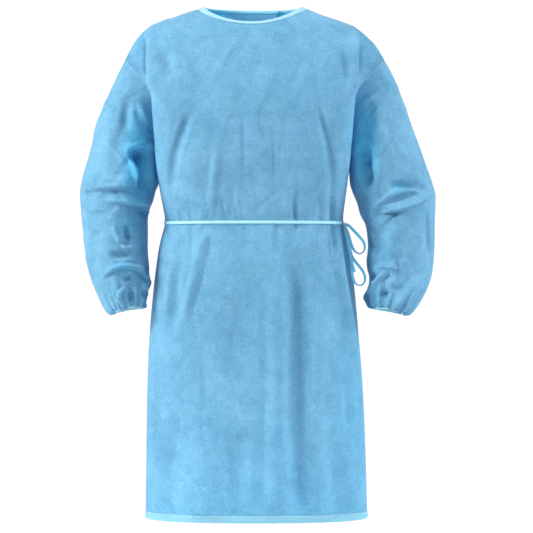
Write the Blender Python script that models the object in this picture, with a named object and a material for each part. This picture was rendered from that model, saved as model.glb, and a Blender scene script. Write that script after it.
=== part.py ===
"""Isolation gown, worn form with no wearer: front, two backs that overlap, sleeves, bindings and belt.

Metres, +Z up, the front faces -Y. The origin lies in the middle of the neck, level with the two neck points.
The body is worked out from level slices. Each slice runs from the middle of a panel out to its seam, and a
fraction from 0 to 1 says how far along it a point lies. The seam at fraction 1 is the side seam up to the
armpit, then the armhole up to the shoulder tip, then the shoulder seam up to the neck point.
"""
import math
from collections import namedtuple

import bmesh
import bpy
import numpy as np
from mathutils import Matrix

# Driving sizes
NECK_HALF = 0.108           # neck point to the middle
NECK_DROP_FRONT = 0.0396    # neck edge at the middle front, below the neck points
NECK_DROP_BACK = 0.0015
ARMPIT_Z = -0.320
SHOULDER_TIP_Z = -0.118
BELT_TOP_Z = -0.4795
BELT_BOTTOM_Z = -0.4860
HEM_TOP_Z = -1.1260
HEM_Z = -1.1400
CLOTH = 0.0012              # wall of the cloth
TAPE = 0.0008               # wall of bindings, belt and ties
FOLD_OVER_GAP = 0.0008      # air between a folded strip and the cloth inside it
BELT_LIFT = 0.0006          # air under the belt
SEAM_TRIM = 0.0003          # each panel ends this far short of its seam line
BINDING_HEIGHT = 0.0075
BACK_OVERLAP = 0.060        # each back panel runs this far past the middle
UNDER_STEP = 0.0054         # the under panel lies this far inside the upper one
UNDER_RAMP = 0.045          # and comes out to the common surface over this width
UNDER_MARGIN = 0.006        # the ramp starts this far past the overlap
NECK_ROUND = 0.75           # how round the neck edge is, seen from the front
SEAM_CALM = 0.020           # folds die out over this width beside a seam
TIE_WIDTH = 0.0065

# How finely the pieces are divided
FRONT_COLUMNS = 26
BACK_COLUMNS = 12
SLEEVE_COLUMNS = 42
SEAM_COLUMN = 0.965         # one more column of points close to each seam
ARMHOLE_ROWS = 7
SHOULDER_ROWS = 4
SHOULDER_SHARE = 0.955      # how far up towards the neck edge the shoulder rows go
SHARP_ANGLE = 60            # degrees, over which an edge of the cloth stays sharp
SHARP_STRIP_ANGLE = 50
SLICE_STEPS = 40
NORMAL_STEP = 0.01          # fraction to each side over which the belt's direction is taken

# One row for each level. wide is the half width where the cloth is broadest, and wide_y how far forward
# (or back) of the side that lies. seam_x and seam_y are where the slice ends, turn_x and turn_y the way
# it heads there, and square how boxy the slice is.
Slice = namedtuple("Slice", "z wide depth wide_y seam_x seam_y turn_x turn_y square")

FRONT_SLICES = (
    Slice(0.0000, 0.1080, 0.0450, 0.000, 0.1080, 0.000, 0.0, -1.0, 2.1),
    Slice(-0.0056, 0.1330, 0.0520, 0.000, 0.1330, 0.000, 0.0, -1.0, 2.1),
    Slice(-0.0190, 0.1690, 0.0640, 0.000, 0.1690, 0.000, 0.0, -1.0, 2.1),
    Slice(-0.0325, 0.2110, 0.0750, 0.000, 0.2110, 0.000, 0.0, -1.0, 2.2),
    Slice(-0.0460, 0.2386, 0.0840, 0.000, 0.2386, 0.000, 0.0, -1.0, 2.3),
    Slice(-0.0600, 0.2385, 0.0910, 0.014, 0.2545, 0.000, 0.1, -1.0, 2.4),
    Slice(-0.0860, 0.2350, 0.1010, 0.034, 0.2745, 0.000, 0.4, -0.9, 2.5),
    Slice(-0.1180, 0.2310, 0.1120, 0.052, 0.2880, 0.000, 0.8, -0.6, 2.6),
    Slice(-0.1280, 0.2300, 0.1155, 0.060, 0.2820, 0.027, 1.0, -0.2, 2.6),
    Slice(-0.1500, 0.2285, 0.1210, 0.070, 0.2630, 0.044, 1.0, 0.1, 2.6),
    Slice(-0.1770, 0.2270, 0.1270, 0.077, 0.2400, 0.052, 0.8, -0.4, 2.6),
    Slice(-0.2050, 0.2255, 0.1310, 0.079, 0.2250, 0.053, 0.0, -1.0, 2.6),
    Slice(-0.2600, 0.2215, 0.1345, 0.076, 0.2150, 0.042, -0.3, -1.0, 2.6),
    Slice(-0.2950, 0.2195, 0.1345, 0.066, 0.2085, 0.024, -0.3, -1.0, 2.6),
    Slice(-0.3200, 0.2180, 0.1340, 0.057, 0.2055, 0.000, 0.0, -1.0, 2.6),
    Slice(-0.3450, 0.2160, 0.1320, 0.050, 0.2050, 0.000, 0.0, -1.0, 2.6),
    Slice(-0.3930, 0.2105, 0.1260, 0.035, 0.2040, 0.000, 0.0, -1.0, 2.5),
    Slice(-0.4360, 0.2044, 0.1225, 0.020, 0.2010, 0.000, 0.0, -1.0, 2.4),
    Slice(-0.4700, 0.1995, 0.1175, 0.006, 0.1990, 0.000, 0.0, -1.0, 2.3),
    Slice(-0.4830, 0.1985, 0.1165, 0.000, 0.1985, 0.000, 0.0, -1.0, 2.3),
    Slice(-0.4980, 0.2020, 0.1195, 0.000, 0.2020, 0.000, 0.0, -1.0, 2.3),
    Slice(-0.5160, 0.2070, 0.1245, 0.000, 0.2070, 0.000, 0.0, -1.0, 2.3),
    Slice(-0.5430, 0.2130, 0.1290, 0.000, 0.2130, 0.000, 0.0, -1.0, 2.3),
    Slice(-0.5700, 0.2170, 0.1320, 0.000, 0.2170, 0.000, 0.0, -1.0, 2.3),
    Slice(-0.6100, 0.2220, 0.1345, 0.000, 0.2220, 0.000, 0.0, -1.0, 2.3),
    Slice(-0.7050, 0.2310, 0.1370, 0.000, 0.2310, 0.000, 0.0, -1.0, 2.3),
    Slice(-0.8400, 0.2400, 0.1390, 0.000, 0.2400, 0.000, 0.0, -1.0, 2.3),
    Slice(-0.9730, 0.2442, 0.1400, 0.000, 0.2442, 0.000, 0.0, -1.0, 2.3),
    Slice(-1.1400, 0.2475, 0.1400, 0.000, 0.2475, 0.000, 0.0, -1.0, 2.3),
)

BACK_SLICES = (
    Slice(0.0000, 0.1080, 0.0680, 0.000, 0.1080, 0.000, 0.0, -1.0, 2.1),
    Slice(-0.0056, 0.1330, 0.0720, 0.000, 0.1330, 0.000, 0.0, -1.0, 2.1),
    Slice(-0.0190, 0.1690, 0.0790, 0.000, 0.1690, 0.000, 0.0, -1.0, 2.1),
    Slice(-0.0325, 0.2110, 0.0850, 0.000, 0.2110, 0.000, 0.0, -1.0, 2.2),
    Slice(-0.0460, 0.2386, 0.0900, 0.000, 0.2386, 0.000, 0.0, -1.0, 2.3),
    Slice(-0.0600, 0.2520, 0.0950, 0.004, 0.2545, 0.000, 0.1, -1.0, 2.3),
    Slice(-0.0860, 0.2560, 0.1030, 0.020, 0.2745, 0.000, 0.4, -0.9, 2.4),
    Slice(-0.1180, 0.2500, 0.1100, 0.040, 0.2880, 0.000, 0.8, -0.6, 2.4),
    Slice(-0.1280, 0.2470, 0.1120, 0.050, 0.2830, 0.027, 1.0, -0.2, 2.5),
    Slice(-0.1500, 0.2430, 0.1150, 0.062, 0.2680, 0.045, 1.0, 0.0, 2.5),
    Slice(-0.1850, 0.2360, 0.1180, 0.071, 0.2430, 0.055, 0.6, -0.6, 2.5),
    Slice(-0.2200, 0.2300, 0.1195, 0.073, 0.2270, 0.054, 0.0, -1.0, 2.5),
    Slice(-0.2700, 0.2230, 0.1190, 0.068, 0.2150, 0.040, -0.3, -1.0, 2.5),
    Slice(-0.3000, 0.2195, 0.1180, 0.058, 0.2085, 0.021, -0.3, -1.0, 2.5),
    Slice(-0.3200, 0.2165, 0.1160, 0.048, 0.2055, 0.000, 0.0, -1.0, 2.4),
    Slice(-0.3930, 0.2090, 0.1080, 0.028, 0.2040, 0.000, 0.0, -1.0, 2.4),
    Slice(-0.4360, 0.2035, 0.1040, 0.016, 0.2010, 0.000, 0.0, -1.0, 2.3),
    Slice(-0.4700, 0.1995, 0.1015, 0.004, 0.1990, 0.000, 0.0, -1.0, 2.3),
    Slice(-0.4830, 0.1985, 0.1010, 0.000, 0.1985, 0.000, 0.0, -1.0, 2.3),
    Slice(-0.4980, 0.2020, 0.1050, 0.000, 0.2020, 0.000, 0.0, -1.0, 2.3),
    Slice(-0.5160, 0.2070, 0.1110, 0.000, 0.2070, 0.000, 0.0, -1.0, 2.3),
    Slice(-0.5700, 0.2170, 0.1240, 0.000, 0.2170, 0.000, 0.0, -1.0, 2.3),
    Slice(-0.6500, 0.2265, 0.1340, 0.000, 0.2265, 0.000, 0.0, -1.0, 2.3),
    Slice(-0.7700, 0.2360, 0.1385, 0.000, 0.2360, 0.000, 0.0, -1.0, 2.3),
    Slice(-0.9000, 0.2420, 0.1400, 0.000, 0.2420, 0.000, 0.0, -1.0, 2.3),
    Slice(-1.1400, 0.2475, 0.1420, 0.000, 0.2475, 0.000, 0.0, -1.0, 2.3),
)

# The worn gown isn't quite even: how far each level is shifted sideways.
Shift = namedtuple("Shift", "z x")
SHIFTS = (
    Shift(0.000, -0.001), Shift(-0.100, -0.003), Shift(-0.393, -0.003), Shift(-0.483, -0.001),
    Shift(-0.705, -0.001), Shift(-0.840, 0.001), Shift(-0.970, 0.003), Shift(-1.140, 0.0045),
)

# Folds, seen from the front: from (x0, z0) to (x1, z1), bowed sideways, half_width across, depth outwards
# (a trough is negative), rising over the first share of its length and fading over the last.
Fold = namedtuple("Fold", "x0 z0 x1 z1 bow half_width depth rise fade")

FRONT_FOLDS = (
    Fold(-0.130, -0.190, -0.180, -0.440, -0.012, 0.034, -0.009, 0.30, 0.35),
    Fold(0.137, -0.190, 0.173, -0.440, 0.010, 0.032, -0.009, 0.30, 0.35),
    Fold(-0.072, -0.240, -0.100, -0.480, 0.004, 0.034, 0.005, 0.40, 0.20),
    Fold(0.091, -0.340, 0.095, -0.560, 0.000, 0.022, -0.007, 0.40, 0.30),
    Fold(0.178, -0.420, 0.184, -0.580, 0.000, 0.020, -0.009, 0.35, 0.35),
    Fold(0.150, -0.400, 0.158, -0.560, 0.000, 0.022, 0.005, 0.35, 0.35),
    Fold(-0.185, -0.040, -0.212, -0.170, 0.006, 0.026, -0.006, 0.35, 0.40),
    Fold(0.180, -0.050, 0.208, -0.180, -0.006, 0.026, -0.006, 0.35, 0.40),
    Fold(0.094, -0.480, 0.107, -1.200, 0.004, 0.042, -0.014, 0.30, 0.10),
    Fold(0.048, -0.490, 0.045, -1.200, 0.000, 0.048, 0.011, 0.35, 0.10),
    Fold(-0.103, -0.470, -0.160, -0.860, -0.004, 0.038, 0.010, 0.20, 0.45),
    Fold(-0.168, -0.520, -0.196, -0.900, 0.004, 0.032, -0.010, 0.30, 0.45),
    Fold(-0.020, -0.520, -0.034, -1.200, 0.000, 0.060, -0.010, 0.35, 0.15),
    Fold(-0.105, -0.760, -0.112, -1.200, 0.000, 0.050, 0.010, 0.45, 0.10),
    Fold(-0.185, -0.860, -0.182, -1.200, 0.000, 0.040, -0.009, 0.45, 0.10),
    Fold(0.174, -0.490, 0.222, -0.860, 0.004, 0.020, 0.008, 0.15, 0.50),
    Fold(0.150, -0.540, 0.150, -1.000, 0.000, 0.036, 0.007, 0.35, 0.45),
    Fold(0.175, -0.880, 0.182, -1.200, 0.000, 0.050, -0.009, 0.40, 0.10),
)

BACK_FOLDS = (
    Fold(-0.125, -0.060, -0.168, -0.330, -0.010, 0.036, -0.008, 0.35, 0.40),
    Fold(0.122, -0.060, 0.164, -0.340, 0.010, 0.036, -0.008, 0.35, 0.40),
    Fold(-0.110, -0.240, -0.122, -0.470, 0.004, 0.030, 0.006, 0.40, 0.20),
    Fold(0.112, -0.250, 0.126, -0.470, -0.004, 0.030, 0.006, 0.40, 0.20),
    Fold(-0.125, -0.480, -0.135, -1.200, 0.000, 0.044, -0.012, 0.30, 0.10),
    Fold(0.120, -0.480, 0.128, -1.200, 0.000, 0.042, -0.013, 0.30, 0.10),
    Fold(-0.175, -0.500, -0.196, -1.200, 0.000, 0.036, 0.009, 0.35, 0.10),
    Fold(0.168, -0.500, 0.188, -1.200, 0.000, 0.038, 0.009, 0.35, 0.10),
)

# One row for each station down a sleeve. The outer and inner ends of its ring are seen from the front;
# front and back are how deep the ring is, and middle_y where its middle lies.
Station = namedtuple("Station", "outer_x outer_z inner_x inner_z front back middle_y")

SLEEVE_LEFT = (
    Station(-0.2880, -0.118, -0.2085, -0.320, 0.046, 0.046, 0.000),
    Station(-0.3136, -0.165, -0.2160, -0.345, 0.070, 0.072, 0.002),
    Station(-0.3326, -0.207, -0.2155, -0.368, 0.078, 0.080, 0.003),
    Station(-0.3517, -0.252, -0.2145, -0.392, 0.081, 0.082, 0.004),
    Station(-0.3707, -0.330, -0.2215, -0.411, 0.082, 0.082, 0.005),
    Station(-0.3860, -0.382, -0.2275, -0.434, 0.081, 0.080, 0.005),
    Station(-0.3910, -0.418, -0.2360, -0.459, 0.080, 0.078, 0.003),
    Station(-0.3865, -0.476, -0.2386, -0.494, 0.077, 0.075, 0.000),
    Station(-0.3810, -0.530, -0.2386, -0.536, 0.073, 0.071, -0.006),
    Station(-0.3752, -0.570, -0.2363, -0.575, 0.068, 0.066, -0.013),
    Station(-0.3640, -0.610, -0.2325, -0.612, 0.061, 0.060, -0.020),
    Station(-0.3460, -0.645, -0.2390, -0.641, 0.051, 0.050, -0.027),
    Station(-0.3210, -0.6745, -0.2450, -0.6645, 0.036, 0.034, -0.032),
    Station(-0.3100, -0.6760, -0.2480, -0.6680, 0.026, 0.024, -0.035),
    Station(-0.3095, -0.6825, -0.2485, -0.6745, 0.025, 0.024, -0.036),
)

SLEEVE_RIGHT = (
    Station(0.2880, -0.118, 0.2030, -0.320, 0.046, 0.046, 0.000),
    Station(0.3165, -0.162, 0.2120, -0.345, 0.070, 0.072, 0.002),
    Station(0.3349, -0.207, 0.2125, -0.368, 0.078, 0.080, 0.003),
    Station(0.3500, -0.252, 0.2135, -0.392, 0.082, 0.082, 0.004),
    Station(0.3760, -0.325, 0.2195, -0.413, 0.082, 0.081, 0.005),
    Station(0.3954, -0.382, 0.2300, -0.438, 0.084, 0.083, 0.005),
    Station(0.4060, -0.425, 0.2365, -0.463, 0.084, 0.082, 0.003),
    Station(0.4043, -0.472, 0.2490, -0.489, 0.081, 0.079, 0.000),
    Station(0.4030, -0.530, 0.2535, -0.530, 0.076, 0.074, -0.006),
    Station(0.4000, -0.572, 0.2498, -0.572, 0.071, 0.068, -0.013),
    Station(0.3931, -0.610, 0.2550, -0.605, 0.064, 0.062, -0.020),
    Station(0.3780, -0.642, 0.2510, -0.636, 0.054, 0.052, -0.027),
    Station(0.3470, -0.6760, 0.2570, -0.6620, 0.038, 0.036, -0.032),
    Station(0.3335, -0.6830, 0.2650, -0.6700, 0.027, 0.025, -0.035),
    Station(0.3320, -0.6895, 0.2660, -0.6765, 0.026, 0.025, -0.036),
)

SLEEVE_FOLDS_LEFT = (
    Fold(-0.245, -0.290, -0.330, -0.440, 0.010, 0.030, -0.010, 0.30, 0.35),
    Fold(-0.255, -0.460, -0.335, -0.410, 0.008, 0.024, -0.009, 0.30, 0.40),
    Fold(-0.245, -0.475, -0.330, -0.500, -0.010, 0.024, -0.008, 0.30, 0.40),
    Fold(-0.250, -0.600, -0.330, -0.590, 0.012, 0.022, -0.008, 0.30, 0.40),
    Fold(-0.360, -0.260, -0.345, -0.560, 0.010, 0.034, 0.006, 0.35, 0.35),
)

SLEEVE_FOLDS_RIGHT = (
    Fold(0.240, -0.290, 0.315, -0.430, -0.010, 0.030, -0.010, 0.30, 0.35),
    Fold(0.262, -0.452, 0.400, -0.405, -0.010, 0.022, 0.008, 0.30, 0.30),
    Fold(0.262, -0.470, 0.330, -0.462, 0.010, 0.022, -0.009, 0.30, 0.35),
    Fold(0.270, -0.620, 0.320, -0.570, 0.004, 0.022, 0.007, 0.30, 0.40),
    Fold(0.375, -0.630, 0.300, -0.655, 0.006, 0.016, -0.006, 0.30, 0.30),
)

GATHERS = 14                # puckers round each cuff
GATHER_DEPTH = 0.0030
GATHER_FIRST = 9.6          # station where the puckers begin
GATHER_FULL = 11.8
GATHER_STOP = 0.6           # stations over which the puckers end at the casing
CUFF_STATION = 13.0         # the casing starts here and ends at the last station
ARMHOLE_BLEND = 3.0         # stations over which a sleeve leaves the shape of its armhole
CREASE_START = 1.5          # stations over which the creases begin below the armhole
CREASE_STOP = 1.0           # and over which they end above the casing
SIDE_TURN = 0.4             # how far the cloth faces front or back where a crease is at its full depth
BEHIND_RISE = 0.015         # the creases behind lie this much lower than those in front
BEHIND_SHARE = 0.8          # and are this much as deep
SLEEVE_STATIONS = (0.0, 0.7, 1.5, 2.5, 3.6, 4.8, 5.8, 6.8, 7.9, 9.0, 10.0, 10.9, 11.8, 12.5, 13.0, 14.0)

# Level rows of the body below the armpit
BODY_ROWS = (
    HEM_Z, HEM_TOP_Z, -1.060, -0.985, -0.910, -0.835, -0.760, -0.695, -0.640, -0.590, -0.548,
    -0.512, BELT_BOTTOM_Z, BELT_TOP_Z, -0.455, -0.420, -0.385, -0.352,
)

# The bow's tapes: points on each middle line, with the roll of the flat side away from the front
TiePoint = namedtuple("TiePoint", "x y z roll")

TIE_LOOP_UPPER = (
    TiePoint(0.2038, -0.0345, -0.4855, 15), TiePoint(0.2100, -0.0375, -0.4893, 15),
    TiePoint(0.2200, -0.0415, -0.4995, 10), TiePoint(0.2325, -0.0440, -0.5130, 10),
    TiePoint(0.2425, -0.0455, -0.5255, 15), TiePoint(0.2458, -0.0455, -0.5365, 35),
    TiePoint(0.2425, -0.0450, -0.5470, 60), TiePoint(0.2345, -0.0445, -0.5520, 65),
    TiePoint(0.2250, -0.0435, -0.5480, 50), TiePoint(0.2165, -0.0425, -0.5340, 15),
    TiePoint(0.2110, -0.0400, -0.5150, 10), TiePoint(0.2055, -0.0355, -0.4990, 5),
    TiePoint(0.2005, -0.0318, -0.4899, 0),
)
TIE_LOOP_LOWER = (
    TiePoint(0.2000, -0.0365, -0.4901, 0), TiePoint(0.2055, -0.0430, -0.5060, 5),
    TiePoint(0.2100, -0.0495, -0.5300, 5), TiePoint(0.2160, -0.0540, -0.5570, 5),
    TiePoint(0.2285, -0.0570, -0.5750, 10), TiePoint(0.2405, -0.0590, -0.5900, 20),
    TiePoint(0.2462, -0.0600, -0.6065, 40), TiePoint(0.2425, -0.0605, -0.6190, 60),
    TiePoint(0.2335, -0.0610, -0.6235, 65), TiePoint(0.2235, -0.0615, -0.6180, 50),
    TiePoint(0.2178, -0.0615, -0.6030, 20), TiePoint(0.2155, -0.0610, -0.5850, 10),
    TiePoint(0.2130, -0.0585, -0.5600, 5), TiePoint(0.2085, -0.0525, -0.5320, 5),
    TiePoint(0.2040, -0.0455, -0.5080, 5), TiePoint(0.1995, -0.0388, -0.4894, 0),
)
TIE_END = (
    TiePoint(0.1990, -0.0411, -0.4878, 0), TiePoint(0.2030, -0.0485, -0.5070, 5),
    TiePoint(0.2075, -0.0560, -0.5320, 5), TiePoint(0.2125, -0.0625, -0.5580, 5),
    TiePoint(0.2175, -0.0655, -0.5760, 5), TiePoint(0.2215, -0.0670, -0.5925, 5),
)
KNOT_CENTRE = (0.1990, -0.0350, -0.4850)
KNOT_SIZE = (0.0080, 0.0140, 0.0095)

CLOTH_BLUE = (0.168, 0.451, 0.695, 1.0)
TAPE_BLUE = (0.392, 0.692, 0.888, 1.0)


def smooth_curve(xs, ys):
    """A cubic through the rows of a table that adds no bumps between them."""
    order = np.argsort(xs)
    xs = np.asarray(xs, float)[order]
    ys = np.asarray(ys, float)[order]
    step = np.diff(xs)
    slope = np.diff(ys) / step
    bend = np.zeros(len(xs))
    rising = slope[:-1] * slope[1:] > 0
    total = np.where(rising, slope[:-1] + slope[1:], 1.0)
    bend[1:-1] = np.where(rising, 2 * slope[:-1] * slope[1:] / total, 0.0)
    bend[0] = slope[0]
    bend[-1] = slope[-1]

    def at(x):
        x = np.clip(x, xs[0], xs[-1])
        i = np.clip(np.searchsorted(xs, x) - 1, 0, len(step) - 1)
        t = (x - xs[i]) / step[i]
        start = (1 + 2 * t) * (1 - t) ** 2 * ys[i] + t * (1 - t) ** 2 * step[i] * bend[i]
        end = t * t * (3 - 2 * t) * ys[i + 1] - t * t * (1 - t) * step[i] * bend[i + 1]
        return start + end

    return at


def table_curves(rows, key):
    """One smooth curve for each column of a table, over its key column."""
    columns = {name: [getattr(row, name) for row in rows] for name in rows[0]._fields}
    return {name: smooth_curve(columns[key], values) for name, values in columns.items() if name != key}


def smoothstep(t):
    t = np.clip(t, 0.0, 1.0)
    return t * t * (3 - 2 * t)


SHAPES = {"front": table_curves(FRONT_SLICES, "z"), "back": table_curves(BACK_SLICES, "z")}
SHIFT_AT = table_curves(SHIFTS, "z")["x"]
FOLDS = {"front": FRONT_FOLDS, "back": BACK_FOLDS}
FACING = {"front": -1.0, "back": 1.0}


def slice_line(side, z):
    """The half slice at each height in z: x and depth of its points, from the middle to the seam."""
    row = {name: curve(z)[:, None] for name, curve in SHAPES[side].items()}
    angle = np.linspace(0, math.pi / 2, SLICE_STEPS)[None, :]
    power = 2 / row["square"]
    round_x = row["wide"] * np.sin(angle) ** power
    round_y = row["wide_y"] + (row["depth"] - row["wide_y"]) * np.cos(angle) ** power
    t = np.linspace(0, 1, SLICE_STEPS // 2)[None, 1:]
    reach = np.hypot(row["seam_x"] - row["wide"], row["seam_y"] - row["wide_y"])
    hold_start = t * (1 - t) ** 2
    hold_end = t * t * (1 - t)
    blend = t * t * (3 - 2 * t)
    tail_x = row["wide"] + (row["seam_x"] - row["wide"]) * blend - hold_end * reach * row["turn_x"]
    tail_y = row["wide_y"] + (row["seam_y"] - row["wide_y"]) * blend
    tail_y = tail_y - hold_start * reach - hold_end * reach * row["turn_y"]
    return np.hstack([round_x, tail_x]), np.hstack([round_y, tail_y])


def slice_lengths(x, depth):
    steps = np.hypot(np.diff(x, axis=1), np.diff(depth, axis=1))
    return np.hstack([np.zeros((len(x), 1)), np.cumsum(steps, axis=1)])


def body_points(side, fraction, z):
    """Points of a panel before its folds. A fraction below 0 lies left of the middle."""
    shape = fraction.shape
    fraction = fraction.ravel()
    z = np.minimum(z.ravel(), 0.0)
    line_x, line_y = slice_line(side, z)
    run = slice_lengths(line_x, line_y)
    share = np.abs(fraction) * run[:, -1]
    x = np.array([np.interp(s, r, line) for s, r, line in zip(share, run, line_x)])
    y = np.array([np.interp(s, r, line) for s, r, line in zip(share, run, line_y)])
    points = np.stack([np.sign(fraction) * x + SHIFT_AT(z), FACING[side] * y, z], axis=1)
    return points.reshape(shape + (3,))


def neck_heights(side, fraction):
    """How high the neck edge lies on the line of each fraction."""
    drop = NECK_DROP_FRONT if side == "front" else NECK_DROP_BACK
    low = np.full(fraction.shape, -2 * drop)
    high = np.zeros(fraction.shape)
    for _ in range(40):
        middle = (low + high) / 2
        x = body_points(side, fraction, middle)[..., 0] - SHIFT_AT(middle)
        edge = -drop * np.clip(1 - (x / NECK_HALF) ** 2, 0, 1) ** NECK_ROUND
        high = np.where(middle > edge, middle, high)
        low = np.where(middle > edge, low, middle)
    return (low + high) / 2


def fold_depth(folds, x, z):
    """How far the folds move a point outwards."""
    total = np.zeros(x.shape)
    for fold in folds:
        run = np.array([fold.x1 - fold.x0, fold.z1 - fold.z0])
        length = math.hypot(*run)
        along = ((x - fold.x0) * run[0] + (z - fold.z0) * run[1]) / length ** 2
        t = np.clip(along, 0, 1)
        across = ((x - fold.x0) * run[1] - (z - fold.z0) * run[0]) / length
        across = across - fold.bow * 4 * t * (1 - t)
        profile = np.clip(1 - (across / fold.half_width) ** 2, 0, 1) ** 2
        total += fold.depth * profile * smoothstep(t / fold.rise) * smoothstep((1 - t) / fold.fade)
    return total


def grid_normals(points):
    """Outward direction at each point of a grid whose rows go up and whose columns go to the right."""
    across = np.gradient(points, axis=1)
    up = np.gradient(points, axis=0)
    normal = np.cross(across, up)
    return normal / np.linalg.norm(normal, axis=2, keepdims=True)


def row_heights(side, fraction):
    """Heights of a panel's points: level rows up to the armpit, then rows that spread to the neck edge."""
    top = neck_heights(side, fraction)
    tip_share = (SHOULDER_TIP_Z - ARMPIT_Z) / -ARMPIT_Z
    shares = np.concatenate([
        np.linspace(0, tip_share, ARMHOLE_ROWS + 1),
        tip_share + (SHOULDER_SHARE - tip_share) * np.linspace(0, 1, SHOULDER_ROWS + 1)[1:],
    ])
    rows = [np.full(fraction.shape, z) for z in BODY_ROWS]
    rows += [ARMPIT_Z + (top - ARMPIT_Z) * share for share in shares]
    edge = body_points(side, fraction, top)
    low = rows[-1].copy()
    high = top.copy()
    for _ in range(30):
        middle = (low + high) / 2
        away = np.linalg.norm(body_points(side, fraction, middle) - edge, axis=1)
        high = np.where(away < BINDING_HEIGHT, middle, high)
        low = np.where(away < BINDING_HEIGHT, low, middle)
    rows.append((low + high) / 2)
    rows.append(top)
    return np.array(rows)


def seam_fractions(side, fraction, z, free_edge):
    """Fractions trimmed at the seam, and on a back panel carried past the middle to its free edge."""
    line_x, line_y = slice_line(side, np.minimum(z.ravel(), 0.0))
    length = slice_lengths(line_x, line_y)[:, -1].reshape(z.shape)
    trimmed = 1 - SEAM_TRIM / length
    if not free_edge:
        return fraction * trimmed
    past = -BACK_OVERLAP / length
    return past + (trimmed - past) * fraction


def fold_panel(side, points):
    """The panel with its folds, which die out at the seams so that neighbours still meet."""
    normal = grid_normals(points)
    depth = fold_depth(FOLDS[side], points[..., 0], points[..., 2])
    half = np.abs(points[..., 0] - SHIFT_AT(points[..., 2]))
    seam = SHAPES[side]["seam_x"](points[..., 2])
    fade = smoothstep((seam - half) / SEAM_CALM)
    return points + normal * (depth * fade)[..., None]


def front_fractions():
    half = np.append(np.linspace(0, SEAM_COLUMN, FRONT_COLUMNS // 2), 1.0)
    return np.concatenate([-half[:0:-1], half])


def back_shares():
    """Shares of a back panel's width, from its free edge to its seam."""
    return np.append(np.linspace(0, SEAM_COLUMN, BACK_COLUMNS), 1.0)


def front_grid():
    fraction = front_fractions()
    z = row_heights("front", fraction)
    fraction = seam_fractions("front", np.tile(fraction, (len(z), 1)), z, False)
    return fold_panel("front", body_points("front", fraction, z))


def back_grid(hand):
    """A back panel: hand is -1 for the left one, which lies under, and 1 for the right one on top."""
    share = back_shares()
    z = row_heights("back", share)
    fraction = hand * seam_fractions("back", np.tile(share, (len(z), 1)), z, True)
    if hand > 0:
        fraction = fraction[:, ::-1]
        z = z[:, ::-1]
    points = fold_panel("back", body_points("back", fraction, z))
    if hand < 0:
        past = points[..., 0] + BACK_OVERLAP + UNDER_RAMP + UNDER_MARGIN
        inside = smoothstep(past / UNDER_RAMP)
        points = points - grid_normals(points) * (UNDER_STEP * inside)[..., None]
    return points


def clear_scene():
    for item in list(bpy.data.objects):
        bpy.data.objects.remove(item, do_unlink=True)


def new_material(name, colour):
    material = bpy.data.materials.new(name)
    material.use_nodes = True
    shader = material.node_tree.nodes["Principled BSDF"]
    shader.inputs["Base Color"].default_value = colour
    shader.inputs["Roughness"].default_value = 0.85
    shader.inputs["Metallic"].default_value = 0.0
    return material


def add_object(name, mesh, colour, collection):
    mesh.materials.append(new_material(name, colour))
    mesh.shade_smooth()
    item = bpy.data.objects.new(name, mesh)
    collection.objects.link(item)
    return item


def grid_faces(rows, columns, closed):
    """Triangles over a grid, as an array of corner numbers; closed joins the last column to the first."""
    across = columns if closed else columns - 1
    row, column = np.meshgrid(np.arange(rows - 1), np.arange(across), indexing="ij")
    after = (column + 1) % columns
    low = row * columns
    high = low + columns
    first = np.stack([low + column, low + after, high + after], axis=-1)
    second = np.stack([low + column, high + after, high + column], axis=-1)
    return np.concatenate([first.reshape(-1, 3), second.reshape(-1, 3)])


def edge_faces(outer, inner):
    """Quads between two runs of corner numbers along an edge."""
    return np.stack([outer[:-1], inner[:-1], inner[1:], outer[1:]], axis=-1).tolist()


def add_cloth(name, points, normals, collection, closed=False):
    """A closed wall of cloth: the grid of points outside, and the same moved in by the cloth inside.

    Both sides are split along the same diagonals, so that they can't cut each other where the cloth twists.
    """
    rows, columns = points.shape[:2]
    outer = np.arange(rows * columns).reshape(rows, columns)
    inner = outer + outer.size
    side = grid_faces(rows, columns, closed)
    if closed:
        outer = np.hstack([outer, outer[:, :1]])
        inner = np.hstack([inner, inner[:, :1]])
    faces = side.tolist() + (side[:, ::-1] + rows * columns).tolist()
    faces += edge_faces(outer[0], inner[0])
    faces += edge_faces(outer[-1, ::-1], inner[-1, ::-1])
    if not closed:
        faces += edge_faces(outer[::-1, 0], inner[::-1, 0])
        faces += edge_faces(outer[:, -1], inner[:, -1])
    corners = np.concatenate([points.reshape(-1, 3), (points - normals * CLOTH).reshape(-1, 3)])
    mesh = bpy.data.meshes.new(name)
    mesh.from_pydata(corners.tolist(), [], faces)
    mesh.set_sharp_from_angle(angle=math.radians(SHARP_ANGLE))
    return add_object(name, mesh, CLOTH_BLUE, collection)


def share_seam_normals(front_out, back_out, hand):
    """Where a front and a back meet, both walls go in the same way, so that neither cuts the other."""
    first = len(BODY_ROWS)
    last = first + ARMHOLE_ROWS
    front_column = -1 if hand > 0 else 0
    back_column = 0 if hand > 0 else -1
    for rows in (slice(None, first + 1), slice(last, None)):
        shared = front_out[rows, front_column] + back_out[rows, back_column]
        shared = shared / np.linalg.norm(shared, axis=1, keepdims=True)
        front_out[rows, front_column] = shared
        back_out[rows, back_column] = shared


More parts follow.
